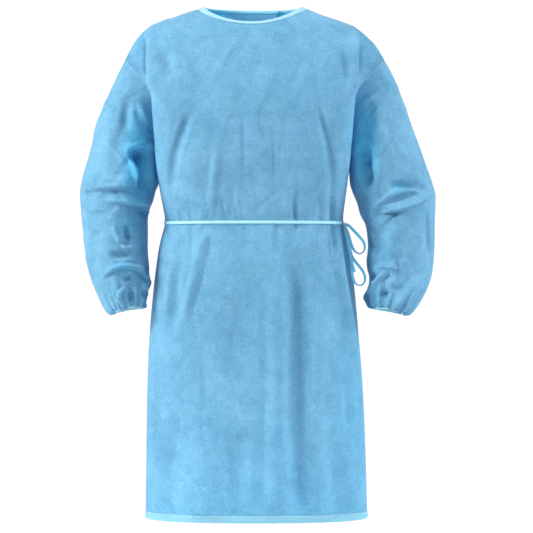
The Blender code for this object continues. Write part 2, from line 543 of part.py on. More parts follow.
def add_loft(name, sections, collection, colour, closed=False):
    """A closed body through sections of 4 or 8 points; an open run is capped with quads."""
    sections = np.asarray(sections)
    count, around = sections.shape[:2]
    faces = []
    for i in range(count if closed else count - 1):
        for j in range(around):
            k = (j + 1) % around
            after = (i + 1) % count
            faces.append((i * around + j, i * around + k, after * around + k, after * around + j))
    if not closed:
        quads = [(0, 1, 2, 3)] if around == 4 else [(0, 1, 6, 7), (1, 2, 5, 6), (2, 3, 4, 5)]
        last = (count - 1) * around
        faces += [quad[::-1] for quad in quads]
        faces += [tuple(last + corner for corner in quad) for quad in quads]
    mesh = bpy.data.meshes.new(name)
    mesh.from_pydata(sections.reshape(-1, 3).tolist(), [], faces)
    shape = bmesh.new()
    shape.from_mesh(mesh)
    bmesh.ops.recalc_face_normals(shape, faces=shape.faces)
    shape.to_mesh(mesh)
    shape.free()
    mesh.set_sharp_from_angle(angle=math.radians(SHARP_STRIP_ANGLE))
    return add_object(name, mesh, colour, collection)


def fold_over(edge, edge_normal, inner, inner_normal):
    """Sections of a strip folded over a cloth edge: edge points, and points as far in as the strip goes."""
    away = edge - inner
    away = away / np.linalg.norm(away, axis=1, keepdims=True)
    near = FOLD_OVER_GAP
    far = FOLD_OVER_GAP + TAPE
    return np.stack([
        inner + inner_normal * far,
        edge + edge_normal * far + away * far,
        edge - edge_normal * (CLOTH + far) + away * far,
        inner - inner_normal * (CLOTH + far),
        inner - inner_normal * (CLOTH + near),
        edge - edge_normal * (CLOTH + near) + away * near,
        edge + edge_normal * near + away * near,
        inner + inner_normal * near,
    ], axis=1)


def armhole_loop(front, back, hand):
    """The seam loop of a sleeve: up the front from the armpit to the shoulder tip and down the back."""
    first = len(BODY_ROWS)
    last = first + ARMHOLE_ROWS
    front_column = front[first:last + 1, -1 if hand > 0 else 0]
    back_column = back[first:last + 1, 0 if hand > 0 else -1]
    armpit = (front_column[0] + back_column[0]) / 2
    tip = (front_column[-1] + back_column[-1]) / 2
    return np.vstack([armpit, front_column[1:-1], tip, back_column[-2:0:-1], armpit])


def sleeve_grid(stations, folds, loop, hand):
    """Rings down a sleeve: the armhole's shape gives way to rounded rings, with puckers near the cuff."""
    index = np.arange(len(stations))
    curves = {
        name: smooth_curve(index, [getattr(row, name) for row in stations]) for name in Station._fields
    }
    turn = np.linspace(0, 1, SLEEVE_COLUMNS + 1)[:-1]
    run = np.concatenate([[0], np.cumsum(np.linalg.norm(np.diff(loop, axis=0), axis=1))])
    start = np.stack([np.interp(turn * run[-1], run, loop[:, k]) for k in range(3)], axis=1)
    rings = []
    for station in SLEEVE_STATIONS:
        row = {name: float(curve(station)) for name, curve in curves.items()}
        outer = np.array([row["outer_x"], 0, row["outer_z"]])
        inner = np.array([row["inner_x"], 0, row["inner_z"]])
        middle = (outer + inner) / 2 + np.array([0, row["middle_y"], 0])
        swing = np.sin(2 * math.pi * turn)
        reach = -np.cos(2 * math.pi * turn)
        depth = np.where(swing > 0, row["front"], row["back"])
        ring = middle + (outer - inner) / 2 * reach[:, None]
        ring[:, 1] -= depth * swing
        hold = max(0.0, 1 - station / ARMHOLE_BLEND) ** 2
        rings.append(start * hold + ring * (1 - hold))
    grid = np.array(rings)
    wrapped = np.concatenate([grid[:, -1:], grid, grid[:, :1]], axis=1)
    normal = -hand * grid_normals(wrapped)[:, 1:-1]
    puckers = GATHER_DEPTH * np.cos(2 * math.pi * GATHERS * turn)[None, :]
    level = np.array(SLEEVE_STATIONS)[:, None]
    puckers = puckers * smoothstep((level - GATHER_FIRST) / (GATHER_FULL - GATHER_FIRST))
    puckers = puckers * smoothstep((CUFF_STATION - level) / GATHER_STOP)
    crease = fold_depth(folds, grid[..., 0], grid[..., 2]) * smoothstep(-normal[..., 1] / SIDE_TURN)
    behind = fold_depth(folds, grid[..., 0], grid[..., 2] + BEHIND_RISE) * smoothstep(normal[..., 1] / SIDE_TURN)
    fade = smoothstep(level / CREASE_START) * smoothstep((CUFF_STATION - level) / CREASE_STOP)
    move = puckers + (crease + BEHIND_SHARE * behind) * fade
    return grid + normal * move[..., None]


def add_sleeve(name, stations, folds, loop, hand, collection):
    """A sleeve and the casing folded over its end."""
    grid = sleeve_grid(stations, folds, loop, hand)
    away = grid[1] - grid[0]
    away = away / np.linalg.norm(away, axis=1, keepdims=True)
    grid[0] = grid[0] + away * 2 * SEAM_TRIM
    if hand > 0:
        grid = grid[:, ::-1]
    wrapped = np.concatenate([grid[:, -1:], grid, grid[:, :1]], axis=1)
    normals = grid_normals(wrapped)[:, 1:-1]
    add_cloth("sleeve_" + name, grid, normals, collection, closed=True)
    sections = fold_over(grid[-1], normals[-1], grid[-2], normals[-2])
    add_loft("cuff_" + name, sections, collection, TAPE_BLUE, closed=True)


def belt_fractions():
    """The panel columns under the belt: across the front, over the upper back, along the under one."""
    middle = (BELT_TOP_Z + BELT_BOTTOM_Z) / 2
    front = front_fractions()
    front = seam_fractions("front", front, np.full(front.shape, middle), False)
    share = back_shares()
    back = seam_fractions("back", share, np.full(share.shape, middle), True)
    under = -back
    return front[:-1], np.concatenate([back[::-1], under[under < back[0]]])


def add_belt(collection):
    """The belt: one ring round the body, straight across the troughs of the folds."""
    sections = []
    for side, fractions in zip(("front", "back"), belt_fractions()):
        for fraction in fractions:
            edges = []
            for z in (BELT_TOP_Z, BELT_BOTTOM_Z):
                beside = np.clip([fraction - NORMAL_STEP, fraction, fraction + NORMAL_STEP], -1, 1)
                line = body_points(side, beside, np.full(3, z))
                along = line[2] - line[0]
                out = np.array([along[1], -along[0], 0]) * -FACING[side]
                out = out / np.linalg.norm(out)
                raised = max(0.0, float(fold_depth(FOLDS[side], line[1:2, 0], line[1:2, 2])[0]))
                edges.append((line[1] + out * (BELT_LIFT + raised), out))
            (top, top_out), (low, low_out) = edges
            sections.append([top, top + top_out * TAPE, low + low_out * TAPE, low])
    add_loft("waist_belt", sections, collection, TAPE_BLUE, closed=True)


def add_tie(name, route, collection):
    """A flat tape along a route, turned about its middle line by each point's roll."""
    points = np.array([[p.x, p.y, p.z] for p in route])
    run = np.concatenate([[0], np.cumsum(np.linalg.norm(np.diff(points, axis=0), axis=1))])
    steps = np.linspace(0, run[-1], 2 * len(route) - 1)
    line = np.stack([smooth_curve(run, points[:, k])(steps) for k in range(3)], axis=1)
    roll = np.radians(smooth_curve(run, [p.roll for p in route])(steps))
    along = np.gradient(line, axis=0)
    along = along / np.linalg.norm(along, axis=1, keepdims=True)
    in_view = np.stack([along[:, 2], np.zeros(len(line)), -along[:, 0]], axis=1)
    in_view = in_view / np.linalg.norm(in_view, axis=1, keepdims=True)
    wide = in_view * np.cos(roll)[:, None] + np.array([0, 1, 0]) * np.sin(roll)[:, None]
    thin = np.cross(along, wide)
    thin = thin / np.linalg.norm(thin, axis=1, keepdims=True)
    wide = np.cross(thin, along)
    half = TIE_WIDTH / 2
    thick = TAPE / 2
    sections = np.stack([
        line + wide * half + thin * thick, line - wide * half + thin * thick,
        line - wide * half - thin * thick, line + wide * half - thin * thick,
    ], axis=1)
    add_loft(name, sections, collection, TAPE_BLUE)


def add_knot(collection):
    mesh = bpy.data.meshes.new("belt_knot")
    shape = bmesh.new()
    bmesh.ops.create_uvsphere(shape, u_segments=12, v_segments=8, radius=0.5)
    bmesh.ops.transform(shape, matrix=Matrix.Diagonal((*KNOT_SIZE, 1.0)), verts=shape.verts)
    bmesh.ops.translate(shape, vec=KNOT_CENTRE, verts=shape.verts)
    shape.to_mesh(mesh)
    shape.free()
    add_object("belt_knot", mesh, TAPE_BLUE, collection)


def build():
    clear_scene()
    gown = bpy.data.collections.new("isolation_gown")
    bpy.context.scene.collection.children.link(gown)

    front = front_grid()
    under = back_grid(-1)
    upper = back_grid(1)
    front_out = grid_normals(front)
    under_out = grid_normals(under)
    upper_out = grid_normals(upper)
    share_seam_normals(front_out, under_out, -1)
    share_seam_normals(front_out, upper_out, 1)
    add_cloth("front_panel", front, front_out, gown)
    add_cloth("back_panel_left", under, under_out, gown)
    add_cloth("back_panel_right", upper, upper_out, gown)

    add_sleeve("left", SLEEVE_LEFT, SLEEVE_FOLDS_LEFT, armhole_loop(front, under, -1), -1, gown)
    add_sleeve("right", SLEEVE_RIGHT, SLEEVE_FOLDS_RIGHT, armhole_loop(front, upper, 1), 1, gown)

    runs = [(under, under_out), (front, front_out), (upper, upper_out)]
    neck = [fold_over(grid[-1], out[-1], grid[-2], out[-2]) for grid, out in runs]
    joined = np.concatenate([neck[0][:-1], neck[1], neck[2][1:]])
    add_loft("neck_binding", joined, gown, TAPE_BLUE)
    for name, (grid, out) in zip(("back_left", "front", "back_right"), runs):
        strip = fold_over(grid[0], out[0], grid[1], out[1])
        add_loft("hem_" + name, strip, gown, TAPE_BLUE)

    add_belt(gown)
    add_knot(gown)
    add_tie("tie_loop_upper", TIE_LOOP_UPPER, gown)
    add_tie("tie_loop_lower", TIE_LOOP_LOWER, gown)
    add_tie("tie_end", TIE_END, gown)


build()
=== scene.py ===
# %% [markdown]
# # A disposable isolation gown, filled out with no wearer
#
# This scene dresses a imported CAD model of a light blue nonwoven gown. Each sewn piece of the real
# gown is a thin shell of its own here, laid on the same form as the solid it stands for. The lesson
# goes in the order of the work: camera and tapes, body and folds, sleeves, bindings, belt, fabric,
# stitches, light.

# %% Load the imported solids
import math
from collections import namedtuple

import bmesh
import bpy
import numpy as np
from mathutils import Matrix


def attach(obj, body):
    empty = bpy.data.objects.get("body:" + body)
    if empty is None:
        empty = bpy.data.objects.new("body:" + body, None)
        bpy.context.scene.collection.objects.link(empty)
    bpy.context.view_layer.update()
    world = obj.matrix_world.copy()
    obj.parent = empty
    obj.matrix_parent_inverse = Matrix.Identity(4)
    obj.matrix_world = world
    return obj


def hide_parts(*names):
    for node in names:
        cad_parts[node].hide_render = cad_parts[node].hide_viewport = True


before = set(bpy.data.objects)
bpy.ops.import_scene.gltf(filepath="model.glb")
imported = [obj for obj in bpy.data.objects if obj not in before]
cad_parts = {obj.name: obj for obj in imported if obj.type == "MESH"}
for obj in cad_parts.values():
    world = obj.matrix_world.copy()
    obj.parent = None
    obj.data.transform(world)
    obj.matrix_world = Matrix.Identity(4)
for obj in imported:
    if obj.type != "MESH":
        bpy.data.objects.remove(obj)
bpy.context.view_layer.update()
print("solids in the frame:", len(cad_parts))

# %% [markdown]
# ## Camera
#
# The photograph was taken level and from far off, so both sides of the gown run almost parallel.
# A camera 5.5 m away with a long lens does the same. The lens is worked out from how wide the
# picture is at the gown, so the whole framing hangs on two numbers that can be measured.

# %% Camera
def in_scene(name, data):
    made = bpy.data.objects.new(name, data)
    bpy.context.scene.collection.objects.link(made)
    return made


CAMERA_DISTANCE = 5.5
PICTURE_WIDTH = 1.194
PICTURE_MIDDLE = (0.02688, -0.580)
SENSOR_MM = 36.0

camera_data = bpy.data.cameras.new("camera")
camera_data.sensor_width = SENSOR_MM
camera_data.lens = SENSOR_MM * CAMERA_DISTANCE / PICTURE_WIDTH
camera = in_scene("camera", camera_data)
camera.location = (PICTURE_MIDDLE[0], -CAMERA_DISTANCE, PICTURE_MIDDLE[1])
camera.rotation_euler = (math.radians(90), 0, 0)
bpy.context.scene.camera = camera
print("lens", round(camera_data.lens, 1), "mm")

# %% [markdown]
# ## Smooth curves through short tables
#
# A garment is drafted from a few measured levels with a smooth line drawn through them. This helper
# is that line: a cubic that passes through every row of a table and adds no bumps between rows.

# %% Curves through tables
def smooth_curve(xs, ys):
    """A cubic through the rows of a table that adds no bumps between them."""
    order = np.argsort(xs)
    xs = np.asarray(xs, float)[order]
    ys = np.asarray(ys, float)[order]
    step = np.diff(xs)
    slope = np.diff(ys) / step
    bend = np.zeros(len(xs))
    rising = slope[:-1] * slope[1:] > 0
    total = np.where(rising, slope[:-1] + slope[1:], 1.0)
    bend[1:-1] = np.where(rising, 2 * slope[:-1] * slope[1:] / total, 0.0)
    bend[0] = slope[0]
    bend[-1] = slope[-1]

    def at(x):
        x = np.clip(x, xs[0], xs[-1])
        i = np.clip(np.searchsorted(xs, x) - 1, 0, len(step) - 1)
        t = (x - xs[i]) / step[i]
        start = (1 + 2 * t) * (1 - t) ** 2 * ys[i] + t * (1 - t) ** 2 * step[i] * bend[i]
        end = t * t * (3 - 2 * t) * ys[i + 1] - t * t * (1 - t) * step[i] * bend[i + 1]
        return start + end

    return at


def table_curves(rows, key):
    """One smooth curve for each column of a table, over its key column."""
    columns = {name: [getattr(row, name) for row in rows] for name in rows[0]._fields}
    return {name: smooth_curve(columns[key], ys) for name, ys in columns.items() if name != key}


def smoothstep(t):
    t = np.clip(t, 0.0, 1.0)
    return t * t * (3 - 2 * t)


def unit(vectors):
    return vectors / np.maximum(np.linalg.norm(vectors, axis=-1, keepdims=True), 1e-9)


print("halfway up a hump that is 1 high:", round(float(smooth_curve([0, 1, 2], [0, 1, 0])(0.5)), 3))

# %% [markdown]
# ## Meshes from grids of points
#
# Every cloth piece here is a grid of points, row by row. Numpy works out all points at once, and one
# helper turns them into a mesh with a UV map in metres, so that a weave or a stitched line can follow
# the cloth. A second helper gives the grid a wall: the same grid again, moved in along its normals,
# with the open edges joined. That is what Blender's Solidify does, but here the two pieces that share
# a seam can share their normals too, so that their walls never cross.

# %% Grids into meshes
def grid_normals(points, closed=False):
    """Outward direction at each point of a grid with rows that go up and columns that go right."""
    if closed:
        points = np.concatenate([points[:, -1:], points, points[:, :1]], axis=1)
    across = np.gradient(points, axis=1)
    up = np.gradient(points, axis=0)
    normal = unit(np.cross(across, up))
    return normal[:, 1:-1] if closed else normal


def grid_quads(rows, columns, closed):
    across = columns if closed else columns - 1
    row, column = np.meshgrid(np.arange(rows - 1), np.arange(across), indexing="ij")
    after = (column + 1) % columns
    low = row * columns
    high = low + columns
    quads = np.stack([low + column, low + after, high + after, high + column], axis=-1)
    return quads.reshape(-1, 4)


def rim_quads(outer, inner):
    return np.stack([outer[:-1], inner[:-1], inner[1:], outer[1:]], axis=-1)


def new_piece(name, corners, quads, corner_uv):
    """A mesh object from arrays: corners, quads, and a UV pair for each corner of each quad."""
    mesh = bpy.data.meshes.new(name)
    mesh.from_pydata(corners.tolist(), [], quads.tolist())
    layer = mesh.uv_layers.new(name="cloth")
    layer.data.foreach_set("uv", corner_uv.astype(np.float32).ravel())
    mesh.shade_smooth()
    piece = in_scene(name, mesh)
    print(name, len(mesh.vertices), "points", len(mesh.polygons), "quads")
    return piece


def cloth_shell(name, points, normals, wall, closed=False, uv=None):
    """A closed wall of cloth: the grid of points outside, and the same moved in by the wall inside."""
    rows, columns = points.shape[:2]
    outer = np.arange(rows * columns).reshape(rows, columns)
    inner = outer + outer.size
    quads = grid_quads(rows, columns, closed)
    if closed:
        outer = np.hstack([outer, outer[:, :1]])
        inner = np.hstack([inner, inner[:, :1]])
    faces = [quads, quads[:, ::-1] + rows * columns]
    faces.append(rim_quads(outer[0], inner[0]))
    faces.append(rim_quads(outer[-1, ::-1], inner[-1, ::-1]))
    if not closed:
        faces.append(rim_quads(outer[::-1, 0], inner[::-1, 0]))
        faces.append(rim_quads(outer[:, -1], inner[:, -1]))
    faces = np.concatenate(faces)
    corners = np.concatenate([points.reshape(-1, 3), (points - normals * wall).reshape(-1, 3)])
    if uv is None:
        uv = cloth_uv(points)
    flat = np.concatenate([uv.reshape(-1, 2)] * 2)
    corner_uv = flat[faces]
    if closed:
        girth = (uv[:, -1, 0] - uv[:, 0, 0]).max() * columns / (columns - 1)
        wrapped = corner_uv[..., 0].max(axis=1, keepdims=True) - corner_uv[..., 0] > girth / 2
        corner_uv[..., 0] += wrapped * girth
    return new_piece(name, corners, faces, corner_uv)


def cloth_uv(points):
    """Metres along the cloth: across each row from its middle, and up the middle column."""
    rows, columns = points.shape[:2]
    across = np.linalg.norm(np.diff(points, axis=1), axis=2)
    u = np.hstack([np.zeros((rows, 1)), np.cumsum(across, axis=1)])
    u = u - u[:, columns // 2][:, None]
    up = np.linalg.norm(np.diff(points, axis=0), axis=2).mean(axis=1)
    v = np.concatenate([[0], np.cumsum(up)])
    return np.stack([u, np.repeat(v[:, None], columns, axis=1)], axis=-1)


def run_along(points):
    """Metres from the first point of a line to each of its points."""
    return np.concatenate([[0], np.cumsum(np.linalg.norm(np.diff(points, axis=0), axis=1))])


def tube(name, sections, closed=False):
    """A closed body through sections of points; an open run is capped at both ends."""
    sections = np.asarray(sections)
    count, around = sections.shape[:2]
    row = np.arange(count if closed else count - 1)[:, None]
    side = np.arange(around)[None, :]
    after = (row + 1) % count
    beside = (side + 1) % around
    faces = np.stack([
        row * around + side, row * around + beside, after * around + beside, after * around + side,
    ], axis=-1).reshape(-1, 4)
    along = run_along(sections.mean(axis=1))
    girth = run_along(np.vstack([sections[0], sections[0, :1]]))
    extra = along[-1] + np.linalg.norm(sections[0].mean(axis=0) - sections[-1].mean(axis=0))
    runs = np.append(along, extra)
    row = np.repeat(np.arange(len(faces)) // around, 4).reshape(-1, 4)
    side = np.repeat(np.arange(len(faces)) % around, 4).reshape(-1, 4)
    corner_uv = np.stack([runs[row + [0, 0, 1, 1]], girth[side + [0, 1, 1, 0]]], axis=-1)
    piece = new_piece(name, sections.reshape(-1, 3), faces, corner_uv)
    shape = bmesh.new()
    shape.from_mesh(piece.data)
    if not closed:
        shape.verts.ensure_lookup_table()
        for first in (0, (count - 1) * around):
            ring = [shape.verts[first + corner] for corner in range(around)]
            shape.faces.new(ring)
    bmesh.ops.recalc_face_normals(shape, faces=shape.faces)
    for face in shape.faces:
        face.smooth = True
    shape.to_mesh(piece.data)
    shape.free()
    return piece


# %% [markdown]
# ## The bow's tapes
#
# The belt ends in a bow at the wearer's left side. Its loops are limp flat tape that hangs from the
# knot, so each is a free cord: a real length of tape on one smooth line. A flat tape needs a width and
# a way to face, so each point of the line carries a roll. Lengths are in millimetres in this table
# and in those of slices, shifts, folds, stations and painted shade ovals, which one helper reads.
# Elsewhere they are in metres.

# %% Tapes of the bow
TIE_WIDTH = 0.0065
TAPE = 0.0008
TIE_STEPS = 90
TIE_ROUNDS = 6
# Half of the eight corners round a tape, as shares of its half width and half thickness.
TAPE_CORNERS = ((1, 0.35), (0.93, 1), (-0.93, 1), (-1, 0.35))

TiePoint = namedtuple("TiePoint", "x y z roll")
TIE_LOOP_UPPER = (
    (203.8, -34.5, -485.5, 15), (210, -37.5, -489.3, 15), (220, -41.5, -499.5, 10), (232.5, -44, -513, 10),
    (242.5, -45.5, -525.5, 15), (245.8, -45.5, -536.5, 35), (242.5, -45, -547, 60),
    (234.5, -44.5, -552, 65), (225, -43.5, -548, 50), (216.5, -42.5, -534, 15), (211, -40, -515, 10),
    (205.5, -35.5, -499, 5), (200.5, -31.8, -489.9, 0),
)
TIE_LOOP_LOWER = (
    (200, -36.5, -490.1, 0), (205.5, -43, -506, 5), (210, -49.5, -530, 5), (216, -54, -557, 5),
    (228.5, -57, -575, 10), (240.5, -59, -590, 20), (246.2, -60, -606.5, 40), (242.5, -60.5, -619, 60),
    (233.5, -61, -623.5, 65), (223.5, -61.5, -618, 50), (217.8, -61.5, -603, 20), (215.5, -61, -585, 10),
    (213, -58.5, -560, 5), (208.5, -52.5, -532, 5), (204, -45.5, -508, 5), (199.5, -38.8, -489.4, 0),
)
TIE_END = (
    (199, -41.1, -487.8, 0), (203, -48.5, -507, 5), (207.5, -56, -532, 5), (212.5, -62.5, -558, 5),
    (217.5, -65.5, -576, 5), (221.5, -67, -592.5, 5),
)


def finished(piece, node):
    """Every piece rides on the one body and stands for a solid, which is hidden."""
    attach(piece, "root")
    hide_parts(node)
    return piece


def flat_section(line, wide, thin, width, thickness):
    """Eight points round a flat tape with softened edges, at each point of its line."""
    half = width / 2
    thick = thickness / 2
    shape = TAPE_CORNERS + tuple((-a, -b) for a, b in TAPE_CORNERS)
    return np.stack([line + wide * half * a + thin * thick * b for a, b in shape], axis=1)


def named_rows(kind, lengths, rows):
    """The rows of a table with names. Their first columns are lengths, written in millimetres."""
    return [kind(*(round(value / 1000, 6) for value in row[:lengths]), *row[lengths:]) for row in rows]


def relax(points, rounds, keep=0.0):
    """Evens a grid or a line out along its first axis; keep is the share that stays as drawn."""
    drawn = points.copy()
    for _ in range(rounds):
        points[1:-1] = (points[:-2] + 2 * points[1:-1] + points[2:]) / 4
    return points + (drawn - points) * np.asarray(keep)


def bow_tape(name, rows):
    route = named_rows(TiePoint, 3, rows)
    points = np.array([[p.x, p.y, p.z] for p in route])
    run = run_along(points)
    steps = np.linspace(0, run[-1], TIE_STEPS)
    line = np.stack([smooth_curve(run, points[:, k])(steps) for k in range(3)], axis=1)
    line = relax(line, TIE_ROUNDS)
    roll = np.radians(smooth_curve(run, [p.roll for p in route])(steps))
    along = unit(np.gradient(line, axis=0))
    in_view = unit(np.stack([along[:, 2], np.zeros(len(line)), -along[:, 0]], axis=1))
    wide = in_view * np.cos(roll)[:, None] + np.array([0, 1, 0]) * np.sin(roll)[:, None]
    thin = unit(np.cross(along, wide))
    wide = np.cross(thin, along)
    piece = tube(name, flat_section(line, wide, thin, TIE_WIDTH, TAPE))
    finished(piece, name)
    return piece


tapes = [
    bow_tape("tie_loop_upper", TIE_LOOP_UPPER),
    bow_tape("tie_loop_lower", TIE_LOOP_LOWER),
    bow_tape("tie_end", TIE_END),
]

# %% [markdown]
# ## The body's form
#
# The body is drafted from level slices, as a pattern cutter works from a chest, waist and hip line.
# Each slice runs from the middle of a panel out to its seam. Above the armpit the seam is the armhole,
# and above the shoulder tip it is the shoulder seam, so one table shapes the whole panel. The front
# bulges out past its own armhole, which makes the soft upright fold beside each arm.

# %% Body slices
NECK_HALF = 0.108
NECK_DROP = {"front": 0.0396, "back": 0.0015}
NECK_ROUNDNESS = 0.75
ARMPIT_Z = -0.320
SHOULDER_TIP_Z = -0.118
BELT_TOP_Z = -0.4795
BELT_BOTTOM_Z = -0.4860
HEM_TOP_Z = -1.1260
HEM_Z = -1.1400
FACING = {"front": -1.0, "back": 1.0}
SLICE_STEPS = 72

# wide is the half width where the cloth is broadest, and wide_y how far forward (or back) of the side
# that lies. seam_x and seam_y are where the slice ends, turn_x and turn_y the way it heads there, and
# square how boxy the slice is. A short row ends at its broadest place, straight back, and needs only
# z, wide, depth and, where it isn't the usual one, square.
SQUARE = 2.3
Slice = namedtuple("Slice", "z wide depth wide_y seam_x seam_y turn_x turn_y square")

SLICES = {
    "front": (
        (0, 108, 45, 2.1), (-5.6, 127, 52, 2.1), (-19, 163, 64, 2.1), (-32.5, 203, 75, 2.2),
        (-46, 232.5, 84), (-60, 236, 91, 12, 250, 0, 0.1, -1, 2.4),
        (-86, 234.5, 101, 32, 272.8, 0, 0.4, -0.9, 2.5), (-115, 231.4, 111, 50, 289.5, 0, 0.8, -0.6, 2.6),
        (-118, 231, 112, 52, 291, 0, 0.8, -0.6, 2.6), (-128, 230, 115.5, 60, 284, 27, 1, -0.2, 2.6),
        (-150, 228.5, 121, 70, 263, 44, 1, 0.1, 2.6), (-177, 227, 127, 77, 240, 52, 0.8, -0.4, 2.6),
        (-205, 225.5, 131, 79, 225, 53, 0, -1, 2.6), (-260, 221.5, 134.5, 76, 215, 42, -0.3, -1, 2.6),
        (-295, 219.5, 134.5, 66, 208.5, 24, -0.3, -1, 2.6), (-320, 218, 134, 57, 205.5, 0, 0, -1, 2.6),
        (-345, 216, 132, 50, 205, 0, 0, -1, 2.6), (-393, 210.5, 126, 35, 204, 0, 0, -1, 2.5),
        (-436, 204.4, 122.5, 20, 201, 0, 0, -1, 2.4), (-470, 199.5, 117.5, 6, 199, 0, 0, -1, 2.3),
        (-483, 198.5, 116.5), (-498, 202, 119.5), (-516, 207, 124.5), (-543, 213, 129), (-570, 217, 132),
        (-610, 222, 134.5), (-705, 231, 137), (-840, 240, 139), (-973, 244.2, 140), (-1140, 247.5, 140),
    ),
    "back": (
        (0, 108, 68, 2.1), (-5.6, 127, 69, 2.1), (-19, 163, 72, 2.1), (-32.5, 203, 79, 2.2),
        (-46, 232.5, 90), (-60, 247.5, 95, 4, 250, 0, 0.1, -1, 2.3),
        (-86, 255, 103, 20, 272.8, 0, 0.4, -0.9, 2.4), (-115, 250.8, 109.2, 38, 289.5, 0, 0.8, -0.6, 2.4),
        (-118, 250, 110, 40, 291, 0, 0.8, -0.6, 2.4), (-128, 247, 112, 50, 285, 27, 1, -0.2, 2.5),
        (-150, 243, 115, 62, 268, 45, 1, 0, 2.5), (-185, 236, 118, 71, 243, 55, 0.6, -0.6, 2.5),
        (-220, 230, 119.5, 73, 227, 54, 0, -1, 2.5), (-270, 223, 119, 68, 215, 40, -0.3, -1, 2.5),
        (-300, 219.5, 118, 58, 208.5, 21, -0.3, -1, 2.5), (-320, 216.5, 116, 48, 205.5, 0, 0, -1, 2.4),
        (-393, 209, 108, 28, 204, 0, 0, -1, 2.4), (-436, 203.5, 104, 16, 201, 0, 0, -1, 2.3),
        (-470, 199.5, 101.5, 4, 199, 0, 0, -1, 2.3), (-483, 198.5, 101), (-498, 202, 105), (-516, 207, 111),
        (-570, 217, 124), (-650, 226.5, 134), (-770, 236, 138.5), (-900, 242, 140), (-1140, 247.5, 142),
    ),
}

# The worn gown isn't quite even: how far (x) each level (z) is shifted sideways.
Shift = namedtuple("Shift", "z x")
SHIFTS = (
    (0, -1.3), (-12, -7), (-32.5, -7.5), (-46, -5.6), (-60, -4.5), (-86, -1), (-118, 0.5), (-180, -2),
    (-393, -3), (-483, -1), (-705, -1), (-840, 1), (-970, 3), (-1140, 4.5),
)


def full_slice(z, wide, depth, *rest):
    if len(rest) > 1:
        return (z, wide, depth, *rest)
    return (z, wide, depth, 0, wide, 0, 0, -1, *(rest or [SQUARE]))


SHAPES = {
    side: table_curves(named_rows(Slice, 6, [full_slice(*row) for row in rows]), "z")
    for side, rows in SLICES.items()
}
SHIFT_AT = table_curves(named_rows(Shift, 2, SHIFTS), "z")["x"]
print("slices:", {side: len(rows) for side, rows in SLICES.items()})


# %% Points on a panel
def slice_line(side, z):
    """The half slice at each height in z: x and depth of its points, from the middle to the seam."""
    row = {name: curve(z)[:, None] for name, curve in SHAPES[side].items()}
    angle = np.linspace(0, math.pi / 2, SLICE_STEPS)[None, :]
    power = 2 / row["square"]
    round_x = row["wide"] * np.sin(angle) ** power
    round_y = row["wide_y"] + (row["depth"] - row["wide_y"]) * np.cos(angle) ** power
    t = np.linspace(0, 1, SLICE_STEPS // 2)[None, 1:]
    reach = np.hypot(row["seam_x"] - row["wide"], row["seam_y"] - row["wide_y"])
    hold_start = t * (1 - t) ** 2
    hold_end = t * t * (1 - t)
    blend = t * t * (3 - 2 * t)
    tail_x = row["wide"] + (row["seam_x"] - row["wide"]) * blend - hold_end * reach * row["turn_x"]
    tail_y = row["wide_y"] + (row["seam_y"] - row["wide_y"]) * blend
    tail_y = tail_y - hold_start * reach - hold_end * reach * row["turn_y"]
    return np.hstack([round_x, tail_x]), np.hstack([round_y, tail_y])


def slice_lengths(x, depth):
    steps = np.hypot(np.diff(x, axis=1), np.diff(depth, axis=1))
    return np.hstack([np.zeros((len(x), 1)), np.cumsum(steps, axis=1)])


def body_points(side, fraction, z):
    """Points of a panel before its folds. A fraction below 0 lies left of the middle."""
    shape = fraction.shape
    fraction = fraction.ravel()
    z = np.minimum(z.ravel(), 0.0)
    line_x, line_y = slice_line(side, z)
    run = slice_lengths(line_x, line_y)
    share = np.abs(fraction) * run[:, -1]
    x = np.array([np.interp(s, r, line) for s, r, line in zip(share, run, line_x)])
    y = np.array([np.interp(s, r, line) for s, r, line in zip(share, run, line_y)])
    points = np.stack([np.sign(fraction) * x + SHIFT_AT(z), FACING[side] * y, z], axis=1)
    return points.reshape(shape + (3,))


def halved(low, high, rounds, too_high):
    """The value between low and high above which too_high holds, found by halving."""
    for _ in range(rounds):
        middle = (low + high) / 2
        over = too_high(middle)
        high = np.where(over, middle, high)
        low = np.where(over, low, middle)
    return (low + high) / 2


def neck_heights(side, fraction):
    """How high the neck edge lies on the line of each fraction."""
    drop = NECK_DROP[side]

    def above_edge(z):
        x = body_points(side, fraction, z)[..., 0] - SHIFT_AT(z)
        return z > -drop * np.clip(1 - (x / NECK_HALF) ** 2, 0, 1) ** NECK_ROUNDNESS

    return halved(np.full(fraction.shape, -2 * drop), np.zeros(fraction.shape), 40, above_edge)


for side in SLICES:
    run = slice_lengths(*slice_line(side, np.array([HEM_Z])))
    print(side, "from its middle to the seam at the hem:", round(float(run[0, -1]), 3), "m")

# %% [markdown]
# ## Folds
#
# Cloth that hangs doesn't crease at random: each fold runs from a place where it is held. In this
# table each row is one fold, drawn as seen from the front, from (x0, z0) to (x1, z1), with its bow,
# half width and depth outwards (a trough is negative). keen sharpens its crest, and lean moves the
# crest towards one side, so that one flank is steep and the other soft, as where cloth folds over
# itself. Small ripples between the main folds are drawn from a seeded random list.

# %% Fold tables
# How much stronger the folds of the body, and the creases and ripples of the sleeves, are than drawn.
FOLD_GAIN = 1.3
CREASE_GAIN = 1.6
RIPPLE_GAIN = 1.2
Fold = namedtuple("Fold", "x0 z0 x1 z1 bow half_width depth rise fade keen lean", defaults=(2.0, 0.0))

